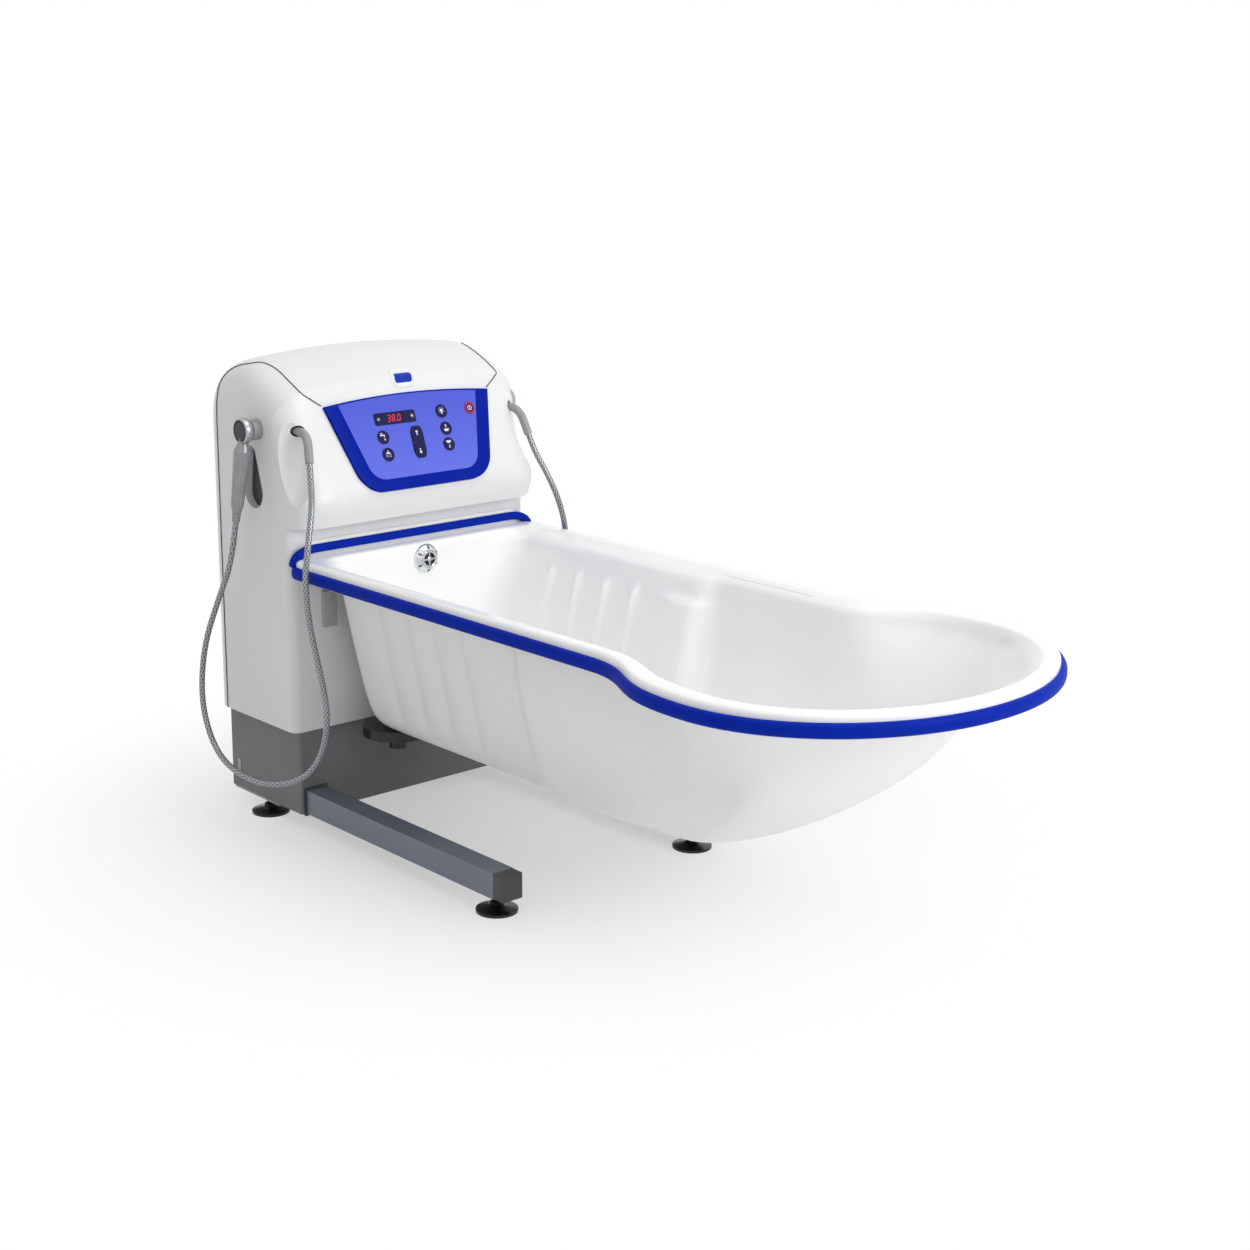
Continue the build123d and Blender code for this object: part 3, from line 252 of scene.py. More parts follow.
def finish(
    name, colour, shade, rough, metal=0.0, grain=1.5, cloud=120.0, relief=0.0, spread=0.06, coat=0.0,
    ior=1.5, gloss=0.5,
):
    """Common build: clouded colour, roughness that varies with it, and a fine surface relief.

    grain and cloud are the sizes of the relief and of the clouds in millimetres."""
    if name in FINISHES:
        return FINISHES[name]
    made, tree, out = blank(name)
    where = node(tree, "ShaderNodeTexCoord").outputs["Object"]
    clouds = node(tree, "ShaderNodeTexNoise", {"Scale": 1000.0 / cloud, "Detail": 3.0}, {"Vector": where})
    fine = node(tree, "ShaderNodeTexNoise", {"Scale": 1000.0 / grain, "Detail": 2.0}, {"Vector": where})
    both = node(
        tree, "ShaderNodeMix", {"Factor": 0.35},
        {"A": clouds.outputs["Fac"], "B": fine.outputs["Fac"]},
    )
    mix = ramp(tree, both.outputs["Result"], tint(shade), tint(colour), (0.3, 0.7))
    dull = node(
        tree, "ShaderNodeMapRange",
        {"To Min": max(0.02, rough - spread), "To Max": min(1.0, rough + spread)},
        {"Value": both.outputs["Result"]},
    )
    values = {"Metallic": metal, "Coat Weight": coat, "Coat Roughness": 0.05}
    if not metal:
        values["IOR"] = ior
        values["Specular IOR Level"] = gloss
    links = {"Base Color": mix.outputs["Color"], "Roughness": dull.outputs["Result"]}
    if relief:
        bump = node(
            tree, "ShaderNodeBump", {"Strength": relief, "Distance": grain * MM * 0.3},
            {"Height": fine.outputs["Fac"]},
        )
        links["Normal"] = bump.outputs["Normal"]
    shader = node(tree, "ShaderNodeBsdfPrincipled", values, links)
    tree.links.new(shader.outputs["BSDF"], out.inputs["Surface"])
    FINISHES[name] = made
    return made


def gelcoat():
    """White gelcoat, sprayed in a mould: high gloss, with a barely seen orange peel of about 9 mm."""
    return finish(
        "Gelcoat, sprayed white", "#F9FAFA", "#F5F6F6", 0.16, grain=9.0, cloud=300.0, relief=0.02, coat=0.15,
    )


def laminate():
    """Polyester laminate, painted white: the tub's outside, duller than its gelcoat and slightly uneven."""
    return finish(
        "Polyester laminate, painted white", "#F4F5F5", "#EFF0F0", 0.34, grain=12.0, cloud=220.0,
        relief=0.03, gloss=0.3,
    )


def thermoformed():
    """White ABS sheet, drawn over a mould: satin, with a very fine leather of about 1.5 mm."""
    return finish(
        "ABS, thermoformed white", "#E9EAEA", "#E4E5E5", 0.36, grain=1.6, cloud=260.0, relief=0.06,
    )


def bumper_blue():
    """Polyurethane, extruded blue: even and half matt, with the faint haze of a soft section."""
    return finish(
        "Polyurethane, extruded blue", "#0229A8", "#01239A", 0.5, grain=2.0, cloud=60.0, relief=0.1,
        gloss=0.06,
    )


def powder_coat():
    """Steel, powder coated graphite: matt, with the coat's fine speckle of about 1.2 mm."""
    return finish(
        "Steel, powder coated graphite", "#7D7E80", "#6A6B6D", 0.55, grain=1.2, cloud=180.0, relief=0.25,
    )


def enamel():
    """Steel tube, stove enamelled blue-grey: smooth and half gloss."""
    return finish(
        "Steel, stove enamelled blue-grey", "#717A87", "#687080", 0.3, grain=4.0, cloud=90.0, relief=0.03,
        coat=0.2,
    )


def polypropylene():
    """Polypropylene, moulded charcoal: dull, with an eroded grain of about 1 mm."""
    return finish(
        "Polypropylene, moulded charcoal", "#47484A", "#3D3E40", 0.5, grain=1.0, cloud=40.0, relief=0.2,
    )


def rubber():
    """Rubber, moulded gloss black: dark and shiny, with dust in its low spots."""
    return finish(
        "Rubber, moulded black", "#17181A", "#0E0F10", 0.24, grain=1.5, cloud=25.0, relief=0.08, spread=0.1,
    )


def zinc():
    """Steel, zinc plated: bright with a cloudy, slightly blue cast."""
    return finish(
        "Steel, zinc plated", "#C3C7CB", "#A9AEB4", 0.32, metal=1.0, grain=0.8, cloud=12.0, relief=0.08,
    )


def galvanised():
    """Steel, hot-dip galvanised: large pale spangles of about 14 mm."""
    return finish(
        "Steel, hot-dip galvanised", "#A9AEB2", "#8B9196", 0.48, metal=0.9, grain=14.0, cloud=40.0,
        relief=0.05,
    )


def anodised():
    """Aluminium, extruded and clear anodised: satin and pale."""
    return finish(
        "Aluminium, clear anodised", "#B9BCC0", "#AEB1B5", 0.34, metal=1.0, grain=1.0, cloud=70.0,
        relief=0.03,
    )


def cast_aluminium():
    """Aluminium, die cast: grey with a sandy skin."""
    return finish(
        "Aluminium, die cast", "#8E9194", "#7F8285", 0.5, metal=0.9, grain=1.4, cloud=30.0, relief=0.3,
    )


def chrome():
    """Brass, chrome plated: mirror bright, with faint wipe marks in its gloss."""
    return finish(
        "Brass, chrome plated", "#E2E4E6", "#D8DADC", 0.08, metal=1.0, grain=6.0, cloud=25.0, spread=0.04,
    )


def satin_chrome():
    """ABS, satin chrome plated: silver with a soft highlight, as on hand showers."""
    return finish(
        "ABS, satin chrome plated", "#B4B6B9", "#A8AAAD", 0.27, metal=0.85, grain=3.0, cloud=20.0,
        spread=0.05,
    )


def grip_grey():
    """ABS, moulded silver grey: the half-gloss grip of a hand shower, with a fine metallic fleck."""
    return finish(
        "ABS, moulded silver grey", "#97999C", "#8A8C8F", 0.3, metal=0.3, grain=1.2, cloud=30.0, relief=0.04,
    )


def brass():
    """Brass, hot pressed: yellow and slightly sandy."""
    return finish(
        "Brass, hot pressed", "#C2A25C", "#A98A48", 0.34, metal=1.0, grain=1.2, cloud=18.0, relief=0.12,
    )


def copper():
    """Copper tube, drawn: warm, with darker tarnish clouds."""
    return finish(
        "Copper, drawn tube", "#C07F5C", "#9A5F44", 0.3, metal=1.0, grain=2.0, cloud=35.0, relief=0.03,
    )


def nylon_grey():
    """Nylon, glass filled and moulded grey: satin, with a fine matt grain."""
    return finish("Nylon, moulded mid grey", "#9A9B9E", "#8F9093", 0.33, grain=1.0, cloud=25.0, relief=0.08)


def nylon_light():
    """Nylon, moulded light grey, used for covers and clips."""
    return finish(
        "Nylon, moulded light grey", "#B4B5B6", "#A8A9AA", 0.42, grain=1.2, cloud=30.0, relief=0.1,
    )


def dark_rubber_and_shade():
    """Silicone rubber, moulded dark grey, for spray faces, gaskets and dark gaps; also painted shade, on the
    pads in the recesses behind the hand showers and in the overflow's slots.
    """
    return finish(
        "Silicone, moulded dark grey, and painted shade", "#3A3B3D", "#2E2F31", 0.46, grain=0.9, cloud=12.0, relief=0.12,
    )


def panel_blue():
    """ABS, moulded ultramarine: the deep blue half-gloss surround of the panel."""
    return finish(
        "ABS, moulded ultramarine", "#0122A0", "#011C92", 0.4, grain=1.2, cloud=70.0, relief=0.05, gloss=0.06,
    )


def key_navy():
    """Polyester film, printed navy over domed keys."""
    return finish(
        "Polyester, printed navy", "#09094F", "#070742", 0.26, grain=0.8, cloud=14.0, relief=0.04, gloss=0.25,
    )


def print_white():
    """Screen ink, white: flat and slightly chalky, for pictograms."""
    return finish("Ink, screen printed white", "#E6E8F6", "#D6D9F0", 0.5, grain=0.6, cloud=5.0)


def print_red():
    """Polycarbonate, moulded signal red, for the stop key's ring and the small lamps."""
    return finish("Polycarbonate, signal red", "#D2122E", "#BC0E28", 0.3, grain=0.8, cloud=8.0)


def lens_blue():
    """Polycarbonate, moulded blue: glossy lens over a lamp."""
    return finish(
        "Polycarbonate, lens blue", "#0636B4", "#052C9C", 0.2, grain=2.0, cloud=14.0, ior=1.58, gloss=0.2,
    )


def black_oxide():
    """Steel, black oxide: dark and slightly shiny, on the feet's stems and nuts."""
    return finish(
        "Steel, black oxide", "#26272A", "#1C1D20", 0.34, metal=1.0, grain=1.0, cloud=14.0, relief=0.06,
    )


def black_box():
    """ABS, moulded black, for the control box and trap."""
    return finish("ABS, moulded black", "#1A1B1D", "#131415", 0.32, grain=1.2, cloud=40.0, relief=0.15)


def display_tint():
    """Acrylic, tinted navy: a glossy window over a dark display."""
    return finish(
        "Acrylic, tinted navy", "#080846", "#060638", 0.12, grain=4.0, cloud=60.0, ior=1.49, gloss=0.3,
    )


def membrane_film():
    """Polyester keypad film, printed periwinkle: a slow fade down the panel and a fine screen grain."""
    if "film" in FINISHES:
        return FINISHES["film"]
    made, tree, out = blank("Polyester, printed periwinkle")
    where = node(tree, "ShaderNodeTexCoord").outputs["Object"]
    height = node(tree, "ShaderNodeSeparateXYZ", links={"Vector": where})
    fade = node(
        tree, "ShaderNodeMapRange", {"From Min": 0.83, "From Max": 1.01, "To Min": 0.0, "To Max": 1.0},
        {"Value": height.outputs["Z"]},
    )
    dots = node(tree, "ShaderNodeTexNoise", {"Scale": 1000 / 1.3, "Detail": 1.0}, {"Vector": where})
    colour = ramp(tree, fade.outputs["Result"], tint("#6270E0"), tint("#505CD0"))
    speck = node(
        tree, "ShaderNodeMapRange", {"To Min": 0.25, "To Max": 0.4}, {"Value": dots.outputs["Fac"]},
    )
    relief = node(
        tree, "ShaderNodeBump", {"Strength": 0.08, "Distance": 0.0003}, {"Height": dots.outputs["Fac"]},
    )
    shader = node(
        tree, "ShaderNodeBsdfPrincipled", {"IOR": 1.55, "Specular IOR Level": 0.15},
        {
            "Base Color": colour.outputs["Color"],
            "Roughness": speck.outputs["Result"],
            "Normal": relief.outputs["Normal"],
        },
    )
    tree.links.new(shader.outputs["BSDF"], out.inputs["Surface"])
    FINISHES["film"] = made
    return made


def led_red():
    """Light-emitting digits: red segments that glow a little unevenly."""
    if "led" in FINISHES:
        return FINISHES["led"]
    made, tree, out = blank("LED segment, lit red")
    where = node(tree, "ShaderNodeTexCoord").outputs["Object"]
    spots = node(tree, "ShaderNodeTexNoise", {"Scale": 400.0, "Detail": 1.0}, {"Vector": where})
    colour = ramp(tree, spots.outputs["Fac"], tint("#D80F34"), tint("#F0244A"))
    shader = node(
        tree, "ShaderNodeBsdfPrincipled", {"Roughness": 0.4, "Emission Strength": 0.6},
        {"Base Color": colour.outputs["Color"], "Emission Color": colour.outputs["Color"]},
    )
    tree.links.new(shader.outputs["BSDF"], out.inputs["Surface"])
    FINISHES["led"] = made
    return made


# Distances between the braid's crossings, round the hose and along it, in metres

BRAID_ROUND, BRAID_ALONG = 0.0036, 0.0072


def hose_braid(length, diameter):
    """PVC hose over a silver braid: strands that cross every 7 mm or so, under a clear gloss."""
    if "braid" in FINISHES:
        return FINISHES["braid"]
    made, tree, out = blank("PVC hose, silver braided")
    where = node(tree, "ShaderNodeTexCoord").outputs["UV"]
    turns = round(math.pi * diameter / BRAID_ROUND)
    rows = round(length / BRAID_ALONG)
    strands = []
    for lean in (1.0, -1.0):
        scaled = node(
            tree, "ShaderNodeMapping", {"Scale": (float(rows), float(turns), 1.0)}, {"Vector": where},
        )
        split = node(tree, "ShaderNodeSeparateXYZ", links={"Vector": scaled.outputs["Vector"]})
        slant = node(
            tree, "ShaderNodeMath", {1: lean}, {0: split.outputs["Y"]}, operation="MULTIPLY",
        )
        total = node(
            tree, "ShaderNodeMath", links={0: split.outputs["X"], 1: slant.outputs["Value"]},
            operation="ADD",
        )
        wave = node(
            tree, "ShaderNodeMath", {1: 1.0}, {0: total.outputs["Value"]}, operation="PINGPONG",
        )
        strands.append(wave.outputs["Value"])
    weave = node(
        tree, "ShaderNodeMath", links={0: strands[0], 1: strands[1]}, operation="MAXIMUM",
    )
    colour = ramp(tree, weave.outputs["Value"], tint("#3E4044"), tint("#A4A7AC"), (0.35, 0.85))
    relief = node(
        tree, "ShaderNodeBump", {"Strength": 0.35, "Distance": 0.0005}, {"Height": weave.outputs["Value"]},
    )
    shader = node(
        tree, "ShaderNodeBsdfPrincipled",
        {"Metallic": 0.7, "Roughness": 0.3, "Coat Weight": 0.25, "Coat Roughness": 0.08},
        {"Base Color": colour.outputs["Color"], "Normal": relief.outputs["Normal"]},
    )
    tree.links.new(shader.outputs["BSDF"], out.inputs["Surface"])
    FINISHES["braid"] = made
    return made


# Sizes that a user would change


class BathTubSettings(bpy.types.PropertyGroup):
    """Sizes of the tub shell"""

    rib_depth: bpy.props.FloatProperty(
        name="Rib depth", description="How far the side ribs stand in", default=0.012, unit="LENGTH",
    )
    rib_width: bpy.props.FloatProperty(
        name="Rib width", description="Half width of a side rib", default=0.011, unit="LENGTH",
    )
    rim_roll: bpy.props.FloatProperty(
        name="Rim roll", description="Radius over the rim's outer edge", default=0.009, unit="LENGTH",
    )


class BathHoseSettings(bpy.types.PropertyGroup):
    """Sizes of the shower hoses"""

    diameter: bpy.props.FloatProperty(
        name="Hose diameter", description="Outside diameter of a shower hose", default=0.014, unit="LENGTH",
    )
    length: bpy.props.FloatProperty(
        name="Hose length", description="Real length of a shower hose", default=1.68, unit="LENGTH",
    )


class BathPanelSettings(bpy.types.PropertyGroup):
    """Prints and reading of the control panel"""

    ink_height: bpy.props.FloatProperty(
        name="Ink height", description="Thickness of printed signs on the keys", default=0.0003,
        unit="LENGTH",
    )
    reading: bpy.props.FloatProperty(
        name="Reading", description="Water temperature that the display shows", default=38.0,
    )


class BathStageSettings(bpy.types.PropertyGroup):
    """Floor under the bath"""

    floor_colour: bpy.props.FloatVectorProperty(
        name="Floor colour", description="Colour of the plain floor", default=(0.9, 0.9, 0.9),
        subtype="COLOR", size=3, min=0.0, max=1.0,
    )


# Tub, in millimetres in front of the cabinet: the rim's half widths and reach, and the widening steps' ends

RIM_HALF, RIM_WIDE, RIM_HEAD = 353.0, 440.0, 1753.0
RIM_FOOT, RIM_CORNER = 2.0, 40.0
STEPS = (690.0, 770.0)
SWELL = (1046.0, 1373.0)

# Shares of the tub's height, and there the foot end, foot part, seat, head width, head reach, corner and
# swell as shares of the rim's own sizes

TUB_LEVELS = (0.0, 0.05, 0.18, 0.34, 0.55, 0.75, 0.9, 0.96, 1.0)
TUB_FOOT = (0.045, 0.036, 0.031, 0.029, 0.028, 0.0275, 0.027, 0.0265, 0.025)
TUB_NARROW = (0.47, 0.535, 0.59, 0.635, 0.69, 0.74, 0.785, 0.82, 0.915)
TUB_SEAT = (0.52, 0.585, 0.66, 0.73, 0.81, 0.84, 0.85, 0.86, 0.915)
TUB_WIDE = (0.36, 0.43, 0.52, 0.60, 0.66, 0.78, 0.875, 0.892, 0.902)
TUB_HEAD = (0.665, 0.71, 0.765, 0.815, 0.865, 0.90, 0.95, 0.97, 0.985)
TUB_CORNER = (0.16, 0.17, 0.17, 0.17, 0.17, 0.17, 0.18, 0.19, 0.22)
TUB_SWELL = (0.52, 0.54, 0.56, 0.58, 0.60, 0.605, 0.605, 0.605, 0.605)

# Side ribs: their places, the outline's points round each, the shares of the height where they fade and
# over which they do, at the top and at the floor, their least distance from the middle, and the room after
# the last of a rib's points

RIBS = (215.0, 312.0, 410.0, 508.0)
RIB_REACHES = (-26.0, -19.0, -14.0, -10.0, -6.0, -2.0, 2.0, 6.0, 10.0, 14.0, 19.0, 26.0, 48.0)
RIB_TOP, RIB_TOP_FADE = 0.85, 0.06
RIB_LOW, RIB_LOW_FADE = 0.06, 0.14
RIB_SIDE_ONLY = 60.0
RIB_GAP = 23.0

# How steep a rib's sides are inside and outside, and its depth and width outside against those inside

RIB_EDGE_INSIDE, RIB_EDGE_OUTSIDE = 3.0, 2.0
RIB_DEPTH_OUTSIDE, RIB_WIDTH_OUTSIDE = 0.5, 2.2

# Ledge inside the widening step: width, where it starts and ends along the bath, and its fades up the wall

LEDGE_WIDTH = 17.0
LEDGE_START, LEDGE_LEAD = 540.0, 120.0
LEDGE_END, LEDGE_TAIL = 700.0, 60.0
LEDGE_TOP, LEDGE_TOP_FADE, LEDGE_LOW_FADE = 0.855, 0.05, 0.3

# Heights of the tub, its wall and the flange under its rim

TUB_LOW, TUB_HIGH, TUB_WALL, RIM_FLANGE = 250.0, 665.0, 6.0, 9.0
FLOOR_MIDDLE = 560.0
BASIN_SHARES = (
    0.0, 0.012, 0.03, 0.055, 0.09, 0.13, 0.18, 0.24, 0.3, 0.36, 0.42, 0.48, 0.54, 0.6, 0.66,
    0.72, 0.765, 0.79, 0.81, 0.83, 0.85, 0.875, 0.9, 0.925, 0.945, 0.965,
)

# Rim: shares of the way from basin to edge with their drop, then the skirt's growth and heights

RIM_COVE = ((0.0, 4.4), (0.06, 2.4), (0.16, 1.0), (0.3, 0.2), (0.55, 0.0), (0.8, 0.0))
RIM_SKIRT = ((0.0, 640.0), (0.0, 619.0), (-3.0, 618.0), (-6.0, 619.0), (-6.0, 655.0))
RIM_UNDERSIDE = 657.0

# Below this height the outside of the tub is laminate, judged from a spine down the tub's middle

LAMINATE_TOP = 0.622
TUB_SPINE = (420.0, 1250.0)

# Upstand: section as reach and height, half length, rounding of its ends and the height it rises from

UPSTAND_SECTION = (
    (2.0, 650.0), (2.0, 694.0), (3.2, 698.0), (6.0, 700.0), (10.0, 699.4), (13.0, 696.0),
    (14.0, 690.0), (14.0, 676.0), (15.2, 670.5), (18.5, 666.8), (24.0, 665.2), (24.0, 650.0),
)
UPSTAND_HALF, UPSTAND_ROUND, UPSTAND_RISE = 320.0, 28.0, 664.6
UPSTAND_STEPS = 40


def read_off(levels, values, share):
    """Value at a share of the height, smoothly between the given levels."""
    if share <= levels[0]:
        return values[0]
    for i in range(len(levels) - 1):
        if share <= levels[i + 1]:
            span = levels[i + 1] - levels[i]
            t = (share - levels[i]) / span
            slopes = []
            for j in (i, i + 1):
                a, b = max(0, j - 1), min(len(levels) - 1, j + 1)
                slopes.append((values[b] - values[a]) / (levels[b] - levels[a]) * span)
            return (
                values[i] * (2 * t ** 3 - 3 * t ** 2 + 1) + slopes[0] * (t ** 3 - 2 * t ** 2 + t)
                + values[i + 1] * (3 * t ** 2 - 2 * t ** 3) + slopes[1] * (t ** 3 - t ** 2)
            )
    return values[-1]


def bend_through(a, b, c, d, count):
    """Points along a Bezier bend, its last one left out."""
    found = []
    for step in range(count):
        t = step / count
        s = 1 - t
        found.append(tuple(
            s ** 3 * a[k] + 3 * s * s * t * b[k] + 3 * s * t * t * c[k] + t ** 3 * d[k] for k in (0, 1)
        ))
    return found


def tub_plan(foot, narrow, seat, wide, head, corner, swell):
    """Half outline of the tub in millimetres, from the middle of the foot to the middle of the head."""
    def run(a, b, count):
        return [(a[0] + (b[0] - a[0]) * i / count, a[1] + (b[1] - a[1]) * i / count) for i in range(count)]

    half = run((foot, 0.0), (foot, narrow - corner), 8)
    for step in range(8):
        turn = math.pi / 2 * step / 8
        half.append((foot + corner - corner * math.cos(turn), narrow - corner + corner * math.sin(turn)))
    half += run((foot + corner, narrow), (RIBS[0] + RIB_REACHES[0], narrow), 4)
    for rib in RIBS:
        half += [(rib + reach, narrow) for reach in RIB_REACHES]
    half += run((RIBS[-1] + RIB_REACHES[-1] + RIB_GAP, narrow), (STEPS[0], narrow), 7)
    mid = sum(STEPS) / 2
    half += bend_through((STEPS[0], narrow), (mid, narrow), (mid, seat), (STEPS[1], seat), 8)
    half += run((STEPS[1], seat), (swell[0], seat), 12)
    lead = swell[0] + (swell[1] - swell[0]) * 0.42
    half += bend_through((swell[0], seat), (lead, seat), (lead, wide), (swell[1], wide), 14)
    turn_x = swell[1] + (head - swell[1]) * 0.03
    half += run((swell[1], wide), (turn_x, wide), 1)
    bend = math.tan(math.radians(30)) * 0.957
    half += bend_through(
        (turn_x, wide), (turn_x + (head - turn_x) * bend, wide), (head, wide * bend), (head, 0.0), 26,
    )
    return half + [(head, 0.0)]


def basin_plan(share, inset):
    """Half outline of the basin at a share of its height, drawn in by an inset."""
    values = {
        key: read_off(TUB_LEVELS, table, share)
        for key, table in (
            ("foot", TUB_FOOT), ("narrow", TUB_NARROW), ("seat", TUB_SEAT), ("wide", TUB_WIDE),
            ("head", TUB_HEAD), ("corner", TUB_CORNER), ("swell", TUB_SWELL),
        )
    }
    swell = RIM_HEAD * values["swell"]
    head = RIM_HEAD * values["head"]
    return tub_plan(
        RIM_HEAD * values["foot"] + inset, RIM_HALF * values["narrow"] - inset,
        RIM_HALF * values["seat"] - inset, RIM_WIDE * values["wide"] - inset, head - 1.6 * inset,
        RIM_HALF * values["corner"], (swell, min(swell + SWELL[1] - SWELL[0], head * 0.93)),
    )


def rim_plan(grow):
    """Half outline of the rim's edge, grown or drawn in."""
    return tub_plan(
        RIM_FOOT - min(grow, 0), RIM_HALF + grow, RIM_HALF + grow, RIM_WIDE + grow, RIM_HEAD + grow,
        RIM_CORNER, SWELL,
    )


def whole(half, height):
    """Closed ring in metres from a half outline."""
    near = [(x, -y) for x, y in half[1:-1]]
    return [(along(x), y * MM, height * MM) for x, y in half + near[::-1]]


def clipped(value):
    """Value kept between 0 and 1."""
    return min(1.0, max(0.0, value))


def eased(value):
    """Smooth rise from 0 to 1."""
    value = clipped(value)
    return value * value * (3 - 2 * value)


def ribbed(half, share, depth, width, edge, ledge=0.0):
    """Half outline with the side ribs pressed in, their sides as steep as edge, and a ledge that wide."""
    lean = ledge * eased((LEDGE_TOP - share) / LEDGE_TOP_FADE) * eased(share / LEDGE_LOW_FADE)
    fade = clipped((RIB_TOP - share) / RIB_TOP_FADE) * clipped((share - RIB_LOW) / RIB_LOW_FADE)
    shaped = []
    for x, y in half:
        press = depth * fade * sum(math.exp(-(abs((x - rib) / width) ** edge)) for rib in RIBS)
        press += lean * eased((x - LEDGE_START) / LEDGE_LEAD) * (1 - eased((x - LEDGE_END) / LEDGE_TAIL))
        shaped.append((x, y - press if y > RIB_SIDE_ONLY else y))
    return shaped


def floor_heart(half):
    """Half outline of the small flat patch in the middle of the tub's floor."""
    return [(FLOOR_MIDDLE + (x - FLOOR_MIDDLE) * 0.5, y * 0.4) for x, y in half]


def between(a, b, t):
    """Half outline part of the way from one to another."""
    return [(p[0] + (q[0] - p[0]) * t, p[1] + (q[1] - p[1]) * t) for p, q in zip(a, b)]


class BATH_OT_tub(bpy.types.Operator):
    """Model the tub shell with its ribs, rolled rim and upstand"""

    bl_idname = "bath.tub"
    bl_label = "Tub shell"

    def execute(self, context):
        sizes = context.scene.bath_tub
        depth, width = sizes.rib_depth / MM, sizes.rib_width / MM
        roll = sizes.rim_roll / MM
        low, high, wall = TUB_LOW, TUB_HIGH, TUB_WALL
        rings = []
        floor = basin_plan(0.0, wall)
        for t in (1.0, 0.7, 0.4, 0.15):
            rings.append(whole(between(floor, floor_heart(floor), t), low + wall))
        for share in BASIN_SHARES:
            plan = ribbed(basin_plan(share, wall), share, depth, width, RIB_EDGE_INSIDE, LEDGE_WIDTH)
            rings.append(whole(plan, low + wall + (high - low - wall) * share))
        basin = basin_plan(1.0, wall)
        edge = rim_plan(0.0)
        soft = rim_plan(-roll)
        for t, drop in RIM_COVE:
            rings.append(whole(between(basin, edge, t), high - drop))
        for turn in (20, 45, 70, 90):
            bow = math.radians(turn)
            rings.append(whole(between(soft, edge, math.sin(bow)), high - roll * (1 - math.cos(bow))))
        for grow, height in RIM_SKIRT:
            rings.append(whole(rim_plan(grow), height))
        inside = rim_plan(RIM_SKIRT[-1][0])
        rings.append(whole(between(inside, basin_plan(1.0, 0.0), 0.85), RIM_UNDERSIDE))
        depth, width = depth * RIB_DEPTH_OUTSIDE, width * RIB_WIDTH_OUTSIDE
        for share in reversed(BASIN_SHARES):
            plan = ribbed(basin_plan(share, 0.0), share, depth, width, RIB_EDGE_OUTSIDE)
            rings.append(whole(plan, low + (high - RIM_FLANGE - low) * share))
        base = basin_plan(0.0, 0.0)
        for t in (0.3, 0.7, 1.0):
            rings.append(whole(between(base, floor_heart(base), t), low))
        tub = skin("tub", rings, folded=True)
        modify(tub, "SUBSURF", levels=1, render_levels=1)
        upstand = self.upstand()
        tub = merge([tub, upstand], "tub")
        done(tub, "bath", gelcoat(), 40.0, ("tub_shell",))
        tub.data.materials.append(laminate())
        for face in tub.data.polygons:
            spot = face.center
            past = spot.x - min(max(spot.x, along(TUB_SPINE[0])), along(TUB_SPINE[1]))
            outward = face.normal.x * past + face.normal.y * spot.y
            if spot.z < LAMINATE_TOP and (outward > 0 or face.normal.z < -0.3):
                face.material_index = 1
        return {"FINISHED"}

    def upstand(self):
        """White upstand at the cabinet, with a cove down to the rim and rounded ends."""
        rings = []
        for step in range(-UPSTAND_STEPS, UPSTAND_STEPS + 1):
            y = UPSTAND_HALF * step / UPSTAND_STEPS
            edge = max(0.0, abs(y) - UPSTAND_HALF + UPSTAND_ROUND) / UPSTAND_ROUND
            rise = math.sqrt(max(0.0, 1 - edge ** 2))
            heights = [min(z, UPSTAND_RISE) + max(0.0, z - UPSTAND_RISE) * rise for _, z in UPSTAND_SECTION]
            rings.append([
                (along(x), y * MM, height * MM) for (x, _), height in zip(UPSTAND_SECTION, heights)
            ])
        return skin("upstand", rings)


# Bumper: section as growth beyond the rim and height, and where its ends stop in front of the cabinet

BUMPER_SECTION = (
    (0.0, 622.0), (5.0, 622.3), (9.0, 624.4), (11.4, 628.6), (12.0, 633.0), (12.0, 639.0),
    (11.4, 643.4), (9.0, 647.6), (5.0, 649.7), (0.0, 650.0),
)
BUMPER_START = 5.0

# Strip on the upstand: half its route as reach, place across and height, and its section in metres, which
# deepens towards the ends

STRIP_ROUTE = (
    (19.0, 0.0, 684.0), (19.0, 150.0, 684.0), (19.0, 285.0, 684.0), (18.6, 305.0, 683.4),
    (17.6, 323.0, 679.6), (16.6, 338.0, 671.0), (15.4, 347.0, 658.5), (15.0, 350.5, 644.0),
)
STRIP_HALF_HEIGHT, STRIP_DEPTH, STRIP_END_DEPTH = 0.0098, 0.0056, 0.0122
STRIP_DEEPENS, STRIP_DEEPENING = 0.300, 0.038


